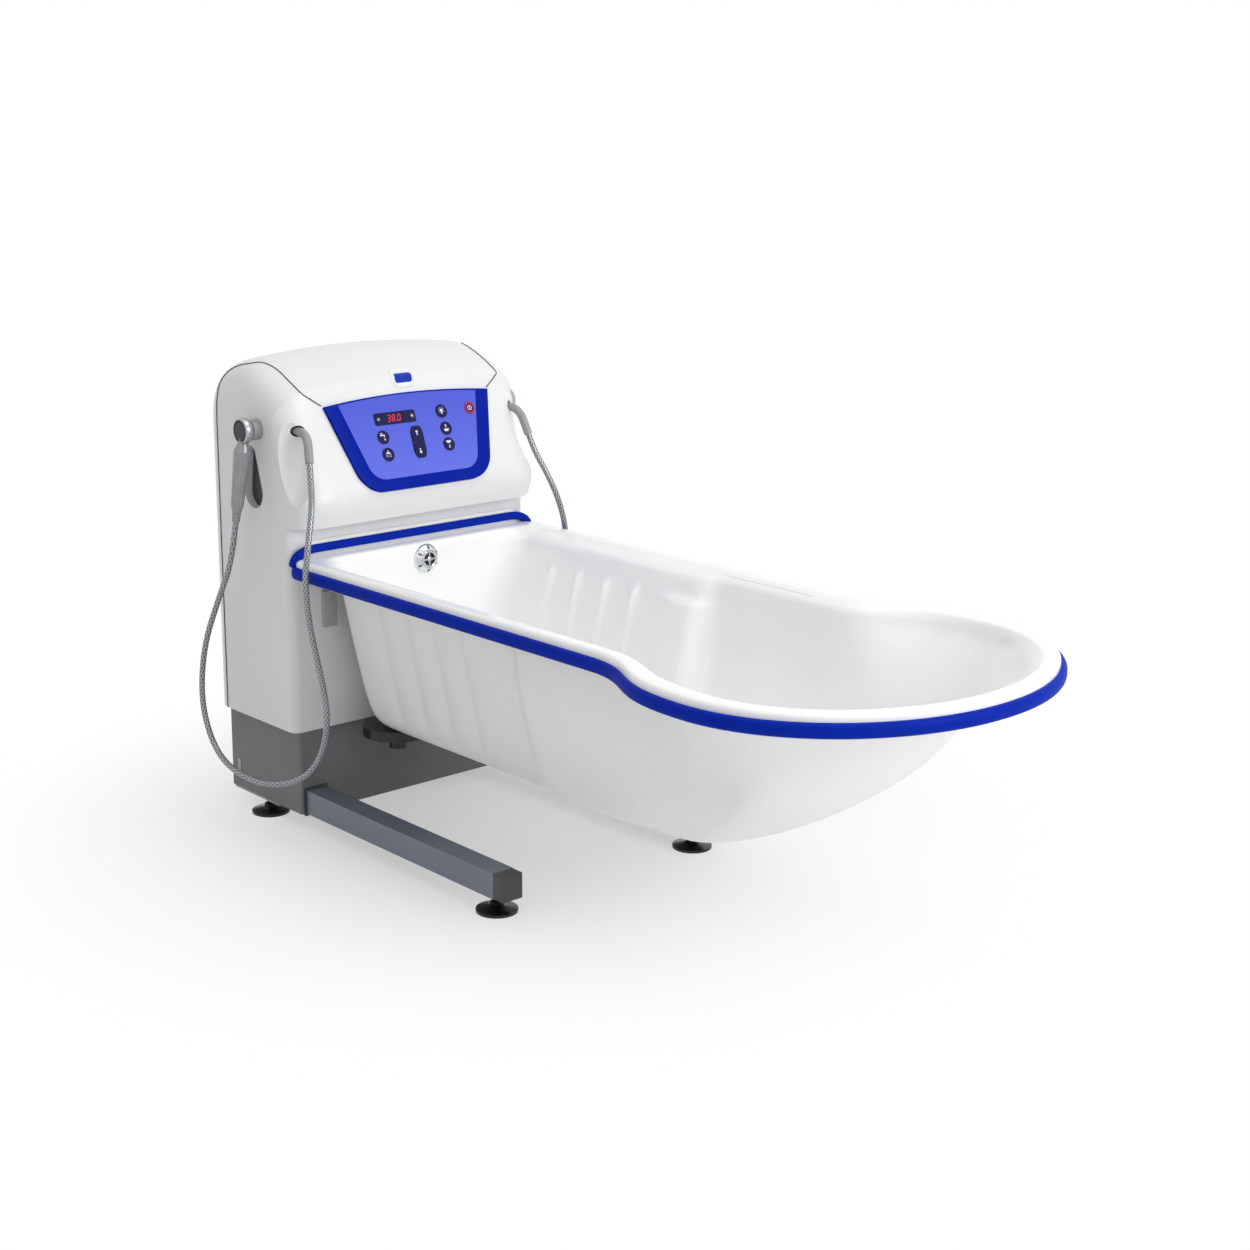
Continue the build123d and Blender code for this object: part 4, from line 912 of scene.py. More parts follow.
class BATH_OT_bumpers(bpy.types.Operator):
    """Model the blue bumper round the rim and the strip on the upstand"""

    bl_idname = "bath.bumpers"
    bl_label = "Bumpers"

    def execute(self, context):
        plans = {grow: rim_plan(grow) for grow, _ in BUMPER_SECTION}
        start = next(i for i, p in enumerate(plans[0.0]) if p[0] > BUMPER_START)
        count = len(plans[0.0])
        rings = []
        for index in list(range(start, count)) + list(range(count - 2, start - 1, -1)):
            side = 1.0 if len(rings) < count - start else -1.0
            rings.append([
                (along(plans[g][index][0]), side * plans[g][index][1] * MM, z * MM) for g, z in BUMPER_SECTION
            ])
        band = skin("rim_band", rings)
        done(band, "bath", bumper_blue(), 40.0, ("rim_bumper",))

        route = [Vector((along(x), -y * MM, z * MM)) for x, y, z in STRIP_ROUTE[::-1]]
        route += [Vector((along(x), y * MM, z * MM)) for x, y, z in STRIP_ROUTE[1:]]
        rings = []
        for i, spot in enumerate(route):
            ahead = (route[min(i + 1, len(route) - 1)] - route[max(i - 1, 0)]).normalized()
            out = Vector((1.0, 0.0, 0.0))
            out = (out - ahead * out.dot(ahead)).normalized()
            up = out.cross(ahead)
            share = clipped((abs(spot.y) - STRIP_DEEPENS) / STRIP_DEEPENING)
            deep = STRIP_DEPTH + (STRIP_END_DEPTH - STRIP_DEPTH) * share
            ring = []
            for turn in range(0, 360, 15):
                forth, rise = squared(turn)
                ring.append(spot + out * deep * forth + up * STRIP_HALF_HEIGHT * rise)
            rings.append(ring)
        strip = skin("upstand_strip", rings)
        modify(strip, "SUBSURF", levels=1, render_levels=1)
        done(strip, "bath", bumper_blue(), 60.0, ("back_bumper",))
        return {"FINISHED"}


# Hose routes: the near side's points in millimetres; the far side's are the same, mirrored

HOSE_POINTS = (
    (-653, -322, 890), (-637, -330, 845), (-613, -345, 800), (-593, -370, 728),
    (-585, -388, 645), (-587, -382, 555), (-570, -374, 465), (-547, -368, 378),
    (-540, -368, 300), (-565, -376, 215), (-629, -392, 155), (-730, -420, 126),
    (-851, -440, 140), (-933, -440, 190), (-973, -440, 290), (-955, -436, 425),
    (-902, -423, 545), (-862, -406.5, 640), (-850, -400, 735),
)

# Hand shower on the near side: where its grip starts, the way it points and where its head is, in metres

GRIP_FOOT = Vector((-0.850, -0.400, 0.735))
GRIP_AXIS = Vector((0.125032, 0.067726, 0.989838))
HEAD_PLACE = Vector((-0.822743, -0.385236, 0.950785))

# Profiles of radius and height in millimetres: ringed ferrule, neck, round head and spray face

FERRULE = [
    (TIP, 0.0), (8.6, 0.0), (9.8, 0.8), (9.8, 5.0), (8.8, 6.0), (8.8, 7.0), (10.2, 8.0), (10.2, 13.0),
    (9.2, 14.0), (9.2, 15.0), (10.6, 16.0), (10.6, 21.0), (9.6, 22.0), (9.6, 23.4), (11.6, 25.0),
    (12.2, 29.0), (12.2, 33.0), (14.2, 35.5),
]
NECK = [
    (20.4, 167.5), (20.6, 169.0), (20.2, 171.0), (18.6, 175.0), (15.2, 183.0), (12.4, 190.0),
    (10.8, 196.0), (10.0, 201.0), (9.6, 207.0), (TIP, 207.0),
]
HEAD_DRUM = [
    (TIP, -13.0), (12.0, -13.0), (20.0, -12.4), (25.5, -10.4), (28.8, -6.8), (30.6, -2.0), (31.0, 3.0),
    (30.6, 8.0), (29.4, 11.4), (27.6, 13.0), (26.2, 12.4), (25.8, 10.6), (25.8, 8.0), (TIP, 8.0),
]
SPRAY_FACE = [
    (TIP, 8.2), (25.4, 8.2), (25.6, 10.4), (24.6, 11.2), (20.0, 11.8), (19.0, 11.2), (18.0, 11.9),
    (8.0, 12.4), (TIP, 12.6),
]
SPRAY_JET = [(1.1, 10.8), (1.0, 13.2), (0.6, 13.6)]
JET_RINGS = ((6, 6.0), (12, 12.5), (18, 22.0))

# Grip between ferrule and neck: height of its start, length, first radius and how far it swells, and flutes

GRIP_START, GRIP_LENGTH, GRIP_RADIUS, GRIP_SWELL = 38.0, 128.0, 15.0, 5.2
GRIP_FLUTES, FLUTE_DEPTH, FLUTE_SPAN = 16, 0.9, (38.5, 165.8)


class BATH_OT_hand_showers(bpy.types.Operator):
    """Model both hand showers: fluted grip, ringed ferrule, round head and spray face"""

    bl_idname = "bath.hand_showers"
    bl_label = "Hand showers"

    def execute(self, context):
        grip = [
            (GRIP_RADIUS + GRIP_SWELL * (i / 24) ** 1.2, GRIP_START + GRIP_LENGTH * i / 24) for i in range(25)
        ]
        for word, side in SIDES:
            foot, axis, head = (
                Vector((spot.x, spot.y * -side, spot.z)) for spot in (GRIP_FOOT, GRIP_AXIS, HEAD_PLACE)
            )
            body = "handset_" + word
            handle = turned(
                word + "_hand_shower", FERRULE + grip + NECK, 128, flutes=GRIP_FLUTES, depth=FLUTE_DEPTH,
                span=FLUTE_SPAN,
            )
            stand(handle, foot, axis)
            done(handle, body, grip_grey(), 32.0, (body,))
            drum = turned(word + "_shower_head", HEAD_DRUM, 72)
            stand(drum, head, (0.0, side, 0.0))
            done(drum, body, satin_chrome(), 32.0)

            parts = [turned("face", SPRAY_FACE, 60)]
            for count, radius in JET_RINGS:
                for step in range(count):
                    turn = 2 * math.pi * step / count
                    jet = turned("jet", SPRAY_JET, 8)
                    jet.data.transform(Matrix.Translation(
                        (radius * MM * math.cos(turn), radius * MM * math.sin(turn), 0.0)
                    ))
                    parts.append(jet)
            face = merge(parts, word + "_spray_plate")
            stand(face, head, (0.0, side, 0.0))
            done(face, body, dark_rubber_and_shade(), 30.0, ("spray_face_" + word,))
        return {"FINISHED"}


class BATH_OT_hoses(bpy.types.Operator):
    """Lay both shower hoses as one smooth line each, from the elbow round to the hand shower"""

    bl_idname = "bath.hoses"
    bl_label = "Shower hoses"

    def execute(self, context):
        sizes = context.scene.bath_hose
        for word, side in SIDES:
            points = [Vector((x * MM, y * -side * MM, z * MM)) for x, y, z in HOSE_POINTS]
            hose, spline = round_line(word + "_hose", "NURBS", points, sizes.diameter / 2, 6)
            hose.data.resolution_u = 14
            spline.order_u = 3
            spline.use_endpoint_u = True
            done(hose, "bath", hose_braid(sizes.length, sizes.diameter), 0, ("hose_" + word,))
        return {"FINISHED"}


# Control panel: places on it are across it, up its slope and out from it, in millimetres

PANEL_TILT = math.radians(22.96)
PANEL_OUT = Vector((math.cos(PANEL_TILT), 0.0, math.sin(PANEL_TILT)))
PANEL_UP = Vector((-math.sin(PANEL_TILT), 0.0, math.cos(PANEL_TILT)))
PANEL_TOP = Vector((along(-8.0), 0.0, 1.003))

# Outline: half width at the top, depth down the slope, arch of the top edge and lean of the sides

PANEL_HALF, PANEL_DEEP, PANEL_CROWN, PANEL_LEAN = 240.0, 215.0, 14.0, 35.0 / 130.0
SURROUND_CORNER, FILM_CORNER = 72.0, 46.0
SIDE_BORDER, LOW_BORDER = 38.0, 27.0

# Surround's section: growth and height of its outer edge, then of its inner edge; heights of the film

SURROUND_OUTSIDE = ((0.0, -9.0), (0.0, 2.8), (-0.5, 3.6), (-1.6, 4.0))
SURROUND_INSIDE = ((1.2, 4.0), (0.3, 3.7), (0.0, 3.0), (0.0, 1.4))
FILM_HEIGHTS = (2.0, 3.0)

# Keys: middle across and up the panel, with the radius of the round ones, and the height of their tops

KEY_TOP = 4.2
ROUND_KEYS = {
    "key_cooler": (-101.0, -44.5, 7.0), "key_warmer": (-4.0, -44.5, 7.0), "key_fill": (-100.0, -88.0, 16.5),
    "key_shower": (-98.0, -130.0, 16.5), "key_light": (84.0, -42.0, 16.5),
    "key_raise_bath": (85.0, -85.0, 16.5), "key_lower_bath": (82.0, -124.0, 16.5),
    "key_stop": (170.0, -42.0, 15.0),
}
OBLONG_KEYS = {"key_up": (-3.0, -88.0), "key_down": (-5.0, -130.0)}
PILL_RADIUS = 18.4
RING_RADIUS, RING_WIDTH = 12.8, 3.6
LAMP_RADIUS, LAMP_HEIGHT = 1.5, 0.8

# Display: first digit's place, a digit's half width, half height, spacing and slant, and a segment's width
# and the gap at its ends

DIGIT_AT, DIGIT_HALF, DIGIT_TALL = (-70.5, -44.5), 3.6, 7.4
DIGIT_SPACING, POINT_SPACING, POINT_BACK = 13.0, 3.0, 5.0
DIGIT_SLANT, SEGMENT_WIDTH, SEGMENT_GAP = 0.14, 1.7, 0.9
SEGMENTS = {
    "a": ((-1, 1), (1, 1)), "b": ((1, 1), (1, 0)), "c": ((1, 0), (1, -1)), "d": ((-1, -1), (1, -1)),
    "e": ((-1, 0), (-1, -1)), "f": ((-1, 1), (-1, 0)), "g": ((-1, 0), (1, 0)),
}
DIGITS = {
    "0": "abcdef", "1": "bc", "2": "abged", "3": "abgcd", "4": "fgbc", "5": "afgcd", "6": "afgedc",
    "7": "abc", "8": "abcdefg", "9": "abfgcd",
}


def on_panel(u, v, w):
    """Place on the panel in the row frame."""
    return PANEL_TOP + Vector((0, 1, 0)) * u * MM + PANEL_UP * v * MM + PANEL_OUT * w * MM


def disc(u, v, radius, count=28):
    """Round outline on the panel."""
    return [
        (u + radius * math.cos(2 * math.pi * i / count), v + radius * math.sin(2 * math.pi * i / count))
        for i in range(count)
    ]


def bar(u, v, to_u, to_v, width):
    """Straight bar's outline on the panel."""
    du, dv = to_u - u, to_v - v
    size = math.hypot(du, dv)
    nu, nv = -dv / size * width / 2, du / size * width / 2
    return [(u + nu, v + nv), (to_u + nu, to_v + nv), (to_u - nu, to_v - nv), (u - nu, v - nv)]


def printed(name, outlines, low, thick, body, material):
    """Thin raised print on the panel from closed outlines."""
    points, faces = [], []
    for outline in outlines:
        first, count = len(points), len(outline)
        for w in (low, low + thick):
            points += [on_panel(u, v, w) for u, v in outline]
        faces.append(tuple(range(first, first + count)))
        faces.append(tuple(range(first + count, first + 2 * count)))
        for i in range(count):
            j = (i + 1) % count
            faces.append((first + i, first + j, first + count + j, first + count + i))
    return done(mesh_piece(name, points, faces), body, material, 30.0)


def ring_bars(u, v, radius, width, count=24, start=0.0, sweep=360.0):
    """Ring or arc made of short bars."""
    found = []
    for i in range(count):
        a = math.radians(start + sweep * i / count)
        b = math.radians(start + sweep * (i + 1.15) / count)
        found.append(bar(
            u + radius * math.cos(a), v + radius * math.sin(a),
            u + radius * math.cos(b), v + radius * math.sin(b), width,
        ))
    return found


def rays(u, v, inner, outer, turns, width):
    """Short bars round a point, between two radii."""
    found = []
    for turn in turns:
        cos, sin = math.cos(math.radians(turn)), math.sin(math.radians(turn))
        found.append(bar(u + inner * cos, v + inner * sin, u + outer * cos, v + outer * sin, width))
    return found


def arrow(u, v, size, up=True):
    """Arrow with a stem, pointing up or down the panel."""
    s = size if up else -size
    return [
        [(u, v + s), (u - size * 0.62, v + s * 0.25), (u + size * 0.62, v + s * 0.25)],
        bar(u, v + s * 0.3, u, v - s * 0.8, size * 0.42),
    ]


def tub_sign(u, v):
    """Small bath seen from the side."""
    return [
        bar(u - 7.5, v, u + 7.5, v, 1.5),
        [(u - 6.5, v - 0.6), (u + 6.5, v - 0.6), (u + 4.6, v - 5.4), (u - 4.6, v - 5.4)],
    ]


def panel_shape(side_border, low_border, grow, radius):
    """Outline of the panel or of its film: arched top, leaning sides and round lower corners."""
    half_top = PANEL_HALF - side_border + grow
    low = PANEL_DEEP - low_border + grow
    crown = PANEL_CROWN - side_border * 0.08 + grow
    half_low = half_top - low * PANEL_LEAN
    radius += grow
    size = math.hypot(half_top - half_low, low)
    up_u, up_v = (half_top - half_low) / size, low / size
    reach = radius / math.tan(math.acos(-up_u) / 2)
    middle_u = half_low + up_u * reach - up_v * radius
    middle_v = -low + up_v * reach + up_u * radius
    first = math.atan2(-up_u, up_v)
    right = []
    for step in range(15):
        turn = first + (-math.pi / 2 - first) * step / 14
        right.append((middle_u + radius * math.cos(turn), middle_v + radius * math.sin(turn)))
    top = [(half_top * k / 16, crown * (1 - (k / 16) ** 2)) for k in range(-16, 17)]
    return top + right + [(-u, v) for u, v in reversed(right)]


class BATH_OT_panel_surround(bpy.types.Operator):
    """Model the blue surround of the control panel and the printed film inside it"""

    bl_idname = "bath.panel_surround"
    bl_label = "Panel surround"

    def execute(self, context):
        rings = []
        for grow, height in SURROUND_OUTSIDE:
            shape = panel_shape(0.0, 0.0, grow, SURROUND_CORNER)
            rings.append([on_panel(u, v, height) for u, v in shape])
        for grow, height in SURROUND_INSIDE:
            shape = panel_shape(SIDE_BORDER, LOW_BORDER, grow, FILM_CORNER)
            rings.append([on_panel(u, v, height) for u, v in shape])
        done(skin("panel_surround", rings), "bath", panel_blue(), 40.0, ("panel_frame",))
        shape = panel_shape(SIDE_BORDER, LOW_BORDER, -0.3, FILM_CORNER)
        rings = [[on_panel(u, v, height) for u, v in shape] for height in FILM_HEIGHTS]
        done(skin("panel_film", rings), "bath", membrane_film(), 40.0, ("panel_membrane",))
        return {"FINISHED"}


class BATH_OT_panel_prints(bpy.types.Operator):
    """Print the pictograms on the keys and light the display's digits"""

    bl_idname = "bath.panel_prints"
    bl_label = "Panel prints"

    def execute(self, context):
        sizes = context.scene.bath_panel
        thick = sizes.ink_height / MM
        for name, outlines in self.signs().items():
            printed(name + "_sign", outlines, KEY_TOP, thick, name, print_white())

        low_key, high_key = Vector(OBLONG_KEYS["key_down"]), Vector(OBLONG_KEYS["key_up"])
        slope = math.degrees(math.atan2(high_key.y - low_key.y, high_key.x - low_key.x))
        pill = []
        for middle, start in ((high_key, slope - 90.0), (low_key, slope + 90.0)):
            for step in range(17):
                a = math.radians(start + 180.0 * step / 16)
                pill.append((middle.x + PILL_RADIUS * math.cos(a), middle.y + PILL_RADIUS * math.sin(a)))
        film = FILM_HEIGHTS[-1]
        printed("key_pair_ground", [pill], film, 0.2, "bath", key_navy())

        u, v, _ = ROUND_KEYS["key_stop"]
        ring = ring_bars(u, v, RING_RADIUS, RING_WIDTH, 40)
        printed("key_stop_ring", ring, KEY_TOP, thick, "key_stop", print_red())
        lamps = [disc(u - 13, v - 15.5, LAMP_RADIUS, 12) for u, v, r in ROUND_KEYS.values() if r > 16]
        lamps += [disc(u - 10, v - 21.0, LAMP_RADIUS, 12) for u, v in OBLONG_KEYS.values()]
        printed("key_lamps", lamps, film, LAMP_HEIGHT, "bath", print_red())
        printed("display_digits", self.digits(f"{sizes.reading:.1f}"), 3.5, 0.2, "bath", led_red())
        return {"FINISHED"}

    def signs(self):
        """Outlines of each key's pictogram."""
        signs = {}
        u, v, _ = ROUND_KEYS["key_cooler"]
        signs["key_cooler"] = rays(u, v, -4.0, 4.0, (30, 90, 150), 0.9)
        u, v, _ = ROUND_KEYS["key_warmer"]
        signs["key_warmer"] = [disc(u, v, 1.9, 16)] + rays(u, v, 2.8, 4.6, range(0, 360, 45), 0.9)
        u, v, _ = ROUND_KEYS["key_fill"]
        signs["key_fill"] = [
            bar(u - 8, v + 5, u + 4, v + 5, 3.0), bar(u + 3, v + 6.4, u + 3, v, 3.0),
            bar(u - 4, v + 5, u - 4, v + 9, 1.6), bar(u - 7, v + 9.4, u - 1, v + 9.4, 1.6),
            [(u + 3, v - 2), (u + 1.2, v - 5.4), (u + 4.8, v - 5.4)], disc(u + 3, v - 6, 2.0, 16),
        ]
        u, v, _ = ROUND_KEYS["key_shower"]
        signs["key_shower"] = [
            [(u - 7, v + 1.6), (u + 7, v + 1.6), (u + 3.4, v + 5.4), (u - 3.4, v + 5.4)],
            bar(u, v + 5, u, v + 9.6, 2.0),
        ] + [
            bar(u + k * 3.0, v - 0.4 - row * 3.6, u + k * 3.6, v - 2.4 - row * 3.6, 1.0)
            for k in (-2, -1, 0, 1, 2) for row in (0, 1)
        ]
        u, v, _ = ROUND_KEYS["key_light"]
        signs["key_light"] = [
            disc(u, v + 1.4, 4.2, 24), bar(u - 1.9, v - 4.2, u + 1.9, v - 4.2, 2.2),
            bar(u - 1.9, v - 6.6, u + 1.9, v - 6.6, 1.2),
        ] + rays(u, v + 1.4, 6.0, 9.0, (-20, 25, 65, 115, 155, 200), 1.1)
        u, v, _ = ROUND_KEYS["key_raise_bath"]
        signs["key_raise_bath"] = tub_sign(u, v - 2) + arrow(u, v + 5.5, 4.6)
        u, v, _ = ROUND_KEYS["key_lower_bath"]
        signs["key_lower_bath"] = tub_sign(u, v + 8) + arrow(u, v - 5.5, 4.6, up=False)
        u, v, _ = ROUND_KEYS["key_stop"]
        signs["key_stop"] = ring_bars(u, v, 5.6, 1.8) + [bar(u - 4, v - 4, u + 4, v + 4, 1.8)]
        for name, up in (("key_up", True), ("key_down", False)):
            u, v = OBLONG_KEYS[name]
            signs[name] = arrow(u, v + (1.0 if up else -1.0), 7.0, up)
        return signs

    def digits(self, reading):
        """Outlines of the lit segments of a reading."""
        found = []
        at, middle = DIGIT_AT
        for sign in reading:
            if sign == ".":
                found.append(disc(at - POINT_BACK, middle - DIGIT_TALL, 1.1, 12))
                at += POINT_SPACING
                continue
            for part in DIGITS[sign]:
                (x0, y0), (x1, y1) = (
                    (at + x * DIGIT_HALF + DIGIT_SLANT * y * DIGIT_TALL, middle + y * DIGIT_TALL)
                    for x, y in SEGMENTS[part]
                )
                cut = SEGMENT_GAP / math.hypot(x1 - x0, y1 - y0)
                du, dv = (x1 - x0) * cut, (y1 - y0) * cut
                found.append(bar(x0 + du, y0 + dv, x1 - du, y1 - dv, SEGMENT_WIDTH))
            at += DIGIT_SPACING
        return found


# Seam between front cover and rear cover, then between cover and hood, down to the panel's corner: points
# in front of the cabinet's lower face, across and up, in millimetres

SEAM_MARKS = (
    (-294.0, 350.0, 245.0), (-294.0, 350.0, 600.0), (-294.0, 350.0, 960.0), (-294.0, 350.0, 1020.0),
    (-290.0, 348.0, 1053.0), (-268.0, 335.0, 1080.0), (-233.0, 320.0, 1089.0), (-203.0, 305.0, 1086.0),
    (-176.0, 285.0, 1083.0), (-134.0, 270.0, 1067.0), (-73.0, 253.0, 1033.0), (-14.0, 244.5, 1007.0),
    (-2.0, 243.0, 1001.0),
)
SEAM_RADIUS, SEAM_LIFT = 0.0014, 0.0006

# Rays that lay the seam on the covers turn upwards above this height; they start and reach this far out

SEAM_TURN, SEAM_TILT = 950.0, 2.4
RAY_START, RAY_REACH = 0.12, 0.2

# Ridge round the lens: margin, radius and how far it is sunk into the hood

BEZEL_MARGIN, BEZEL_RADIUS, BEZEL_SINK = 0.0055, 0.006, 0.0044

# Painted shade in the drop-shaped recess, laid as a dark pad: lower and upper end as place, height and
# radius, the middle that its rings shrink towards, and their distance from the bath's middle with that
# shrinkage

SHADE_PAD_LOW, SHADE_PAD_HIGH = (-142.0, 800.0, 36.6), (-149.6, 890.0, 17.6)
SHADE_PAD_MIDDLE = (-145.0, 835.0)
SHADE_PAD_RINGS = ((330.2, 1.0), (331.4, 1.0), (332.0, 0.96))


class BATH_OT_cabinet_trim(bpy.types.Operator):
    """Lay the cabinet's dark seams, lay dark pads of painted shade in the recesses and put the white ridge
    round the lens
    """

    bl_idname = "bath.cabinet_trim"
    bl_label = "Cabinet trim"

    def execute(self, context):
        for word, side in SIDES:
            seam, _ = round_line(word + "_cabinet_seam", "POLY", self.seam_places(side), SEAM_RADIUS, 3)
            done(as_mesh(seam), "bath", dark_rubber_and_shade(), 50.0)
            self.recess_shade(word, side)
        self.bezel()
        return {"FINISHED"}

    def seam_places(self, side):
        """Places on the covers along one side's seam, by a smooth line through its marks."""
        covers = [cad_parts["hood"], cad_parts["front_cover"]]
        marks = [Vector(mark) for mark in SEAM_MARKS]
        places = []
        for index in range(len(marks) - 1):
            a, b = marks[index], marks[index + 1]
            before, after = marks[max(index - 1, 0)], marks[min(index + 2, len(marks) - 1)]
            for step in range(12):
                t = step / 12
                spot = 0.5 * (
                    2 * a + (b - before) * t + (2 * before - 5 * a + 4 * b - after) * t * t
                    + (3 * a - before - 3 * b + after) * t ** 3
                )
                target = Vector((along(spot.x), side * spot.y * MM, spot.z * MM))
                aim = Vector((0.0, target.y, max(0.0, spot.z - SEAM_TURN) * MM * SEAM_TILT)).normalized()
                hits = []
                for cover in covers:
                    hit, found, facing, _ = cover.ray_cast(target + aim * RAY_START, -aim, distance=RAY_REACH)
                    if hit:
                        hits.append(((found - target).dot(aim), found + facing * SEAM_LIFT))
                if hits:
                    places.append(max(hits, key=lambda pair: pair[0])[1])
        return places

    def bezel(self):
        """Soft white ridge on the hood round its lens."""
        lens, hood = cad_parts["hood_lens"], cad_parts["hood"]
        spots = [v.co.copy() for v in lens.data.vertices]
        centre = sum(spots, Vector()) / len(spots)
        _, centre, facing, _ = lens.ray_cast(centre + Vector((0.0, 0.0, 0.05)), Vector((0.0, 0.0, -1.0)))
        across = Vector((0.0, 1.0, 0.0))
        down = across.cross(facing).normalized()
        half_wide = max(abs((spot - centre).dot(across)) for spot in spots) + BEZEL_MARGIN
        half_deep = max(abs((spot - centre).dot(down)) for spot in spots) + BEZEL_MARGIN
        places = []
        for turn in range(0, 360, 6):
            u, v = squared(turn)
            target = centre + across * half_wide * u + down * half_deep * v
            hit, found, _, _ = hood.ray_cast(target + facing * 0.03, -facing, distance=0.06)
            if hit:
                places.append(found - facing * BEZEL_SINK)
        ridge, spline = round_line("lens_bezel", "POLY", places, BEZEL_RADIUS, 5)
        spline.use_cyclic_u = True
        done(as_mesh(ridge), "bath", thermoformed(), 40.0)

    def recess_shade(self, word, side):
        """Painted shade: a dark pad on the floor of the drop-shaped recess behind a hand shower."""
        rise, run = SHADE_PAD_HIGH[1] - SHADE_PAD_LOW[1], SHADE_PAD_HIGH[0] - SHADE_PAD_LOW[0]
        ahead = math.atan2(rise, run)
        open_by = math.acos((SHADE_PAD_LOW[2] - SHADE_PAD_HIGH[2]) / math.hypot(rise, run))
        outline = []
        for (x, z, radius), start, sweep in (
            (SHADE_PAD_LOW, ahead + open_by, 2 * (math.pi - open_by)), (SHADE_PAD_HIGH, ahead - open_by, 2 * open_by),
        ):
            for step in range(25):
                turn = start + sweep * step / 24
                outline.append((x + radius * math.cos(turn), z + radius * math.sin(turn)))
        middle_x, middle_z = SHADE_PAD_MIDDLE
        rings = []
        for depth, shrink in SHADE_PAD_RINGS:
            rings.append([
                (along(middle_x + (x - middle_x) * shrink), side * depth * MM,
                 (middle_z + (z - middle_z) * shrink) * MM)
                for x, z in outline
            ])
        # Dark pad: painted shade on the floor of the recess, which is really part of the white cover
        done(skin(word + "_recess_painted_shade", rings), "bath", dark_rubber_and_shade(), 40.0)


# Overflow fitting: its place on the foot wall, and profiles of radius and height in front of that place

OVERFLOW_PLACE = Vector((along(0.0), 0.0, 0.624))
OVERFLOW_FLANGE = [
    (23.5, 37.0), (23.5, 52.0), (34.0, 52.0), (35.0, 53.4), (34.6, 56.0), (32.0, 60.0), (28.0, 64.0),
    (24.6, 67.0), (22.2, 68.4), (21.5, 67.8), (21.3, 64.0), (21.3, 55.0), (16.0, 55.0), (16.0, 37.0),
]
KNOB_RING = [
    (TIP, 56.0), (20.8, 56.0), (20.9, 68.2), (19.9, 69.8), (17.6, 70.0), (16.2, 69.2), (15.6, 67.6),
    (15.6, 63.0), (TIP, 63.0),
]
KNOB_INLAY = [(TIP, 62.8), (15.5, 62.8), (15.5, 63.8), (TIP, 63.8)]
KNOB_ARM = [(21.5, 63.4), (21.5, 67.8), (20.8, 68.4)]
KNOB_CAP = [(5.8, 63.4), (5.8, 68.8), (4.6, 69.4)]
ARM_THINNING = 0.13

# Slots in the flange's cone, drawn as dark pills of painted shade for their openings: section, stretch round
# the cone, distance from the axis, height and number

SLOT = [(2.2, -2.0), (2.2, 0.6)]
SLOT_STRETCH, SLOT_REACH, SLOT_HEIGHT, SLOT_COUNT = 2.4, 0.0282, 0.0638, 6


class BATH_OT_overflow(bpy.types.Operator):
    """Model the overflow fitting: slotted chrome flange and its turning knob"""

    bl_idname = "bath.overflow"
    bl_label = "Overflow fitting"

    def execute(self, context):
        self.facing_tub(turned("flange", OVERFLOW_FLANGE, 72), "bath", chrome(), 35.0, ("overflow_body",))
        # Dark pills: painted shade where the slots open into the fitting
        slots = []
        for step in range(SLOT_COUNT):
            slot = turned("slot", SLOT, 14)
            slot.data.transform(Matrix.Diagonal((1.0, SLOT_STRETCH, 1.0, 1.0)))
            slope = math.sqrt(0.5)
            stand(slot, (SLOT_REACH, 0.0, SLOT_HEIGHT), (slope, 0.0, slope), roll=(1, 0, 0))
            slot.data.transform(Matrix.Rotation(2 * math.pi * (step + 0.5) / SLOT_COUNT, 4, "Z"))
            slots.append(slot)
        self.facing_tub(merge(slots, "overflow_slot_shade"), "bath", dark_rubber_and_shade(), 30.0)
        ring = turned("overflow_knob_ring", KNOB_RING, 64)
        self.facing_tub(ring, "overflow_knob", chrome(), 32.0, ("overflow_knob",))
        inlay = turned("overflow_knob_inlay", KNOB_INLAY, 48)
        self.facing_tub(inlay, "overflow_knob", black_box(), 32.0)
        cross = []
        for turn in (0, 90):
            arm = turned("arm", KNOB_ARM, 4)
            arm.data.transform(Matrix.Rotation(math.radians(45), 4, "Z"))
            arm.data.transform(Matrix.Diagonal((1.0, ARM_THINNING, 1.0, 1.0)))
            arm.data.transform(Matrix.Rotation(math.radians(turn), 4, "Z"))
            cross.append(arm)
        core = merge(cross + [turned("cap", KNOB_CAP, 32)], "overflow_knob_core")
        self.facing_tub(core, "overflow_knob", chrome(), 30.0)
        return {"FINISHED"}

    def facing_tub(self, piece, body, material, angle, stands_for=()):
        """Finish a piece of the fitting at its place, with its axis into the tub."""
        stand(piece, OVERFLOW_PLACE, (1, 0, 0))
        done(piece, body, material, angle, stands_for)


# Real material of each solid that stays in view

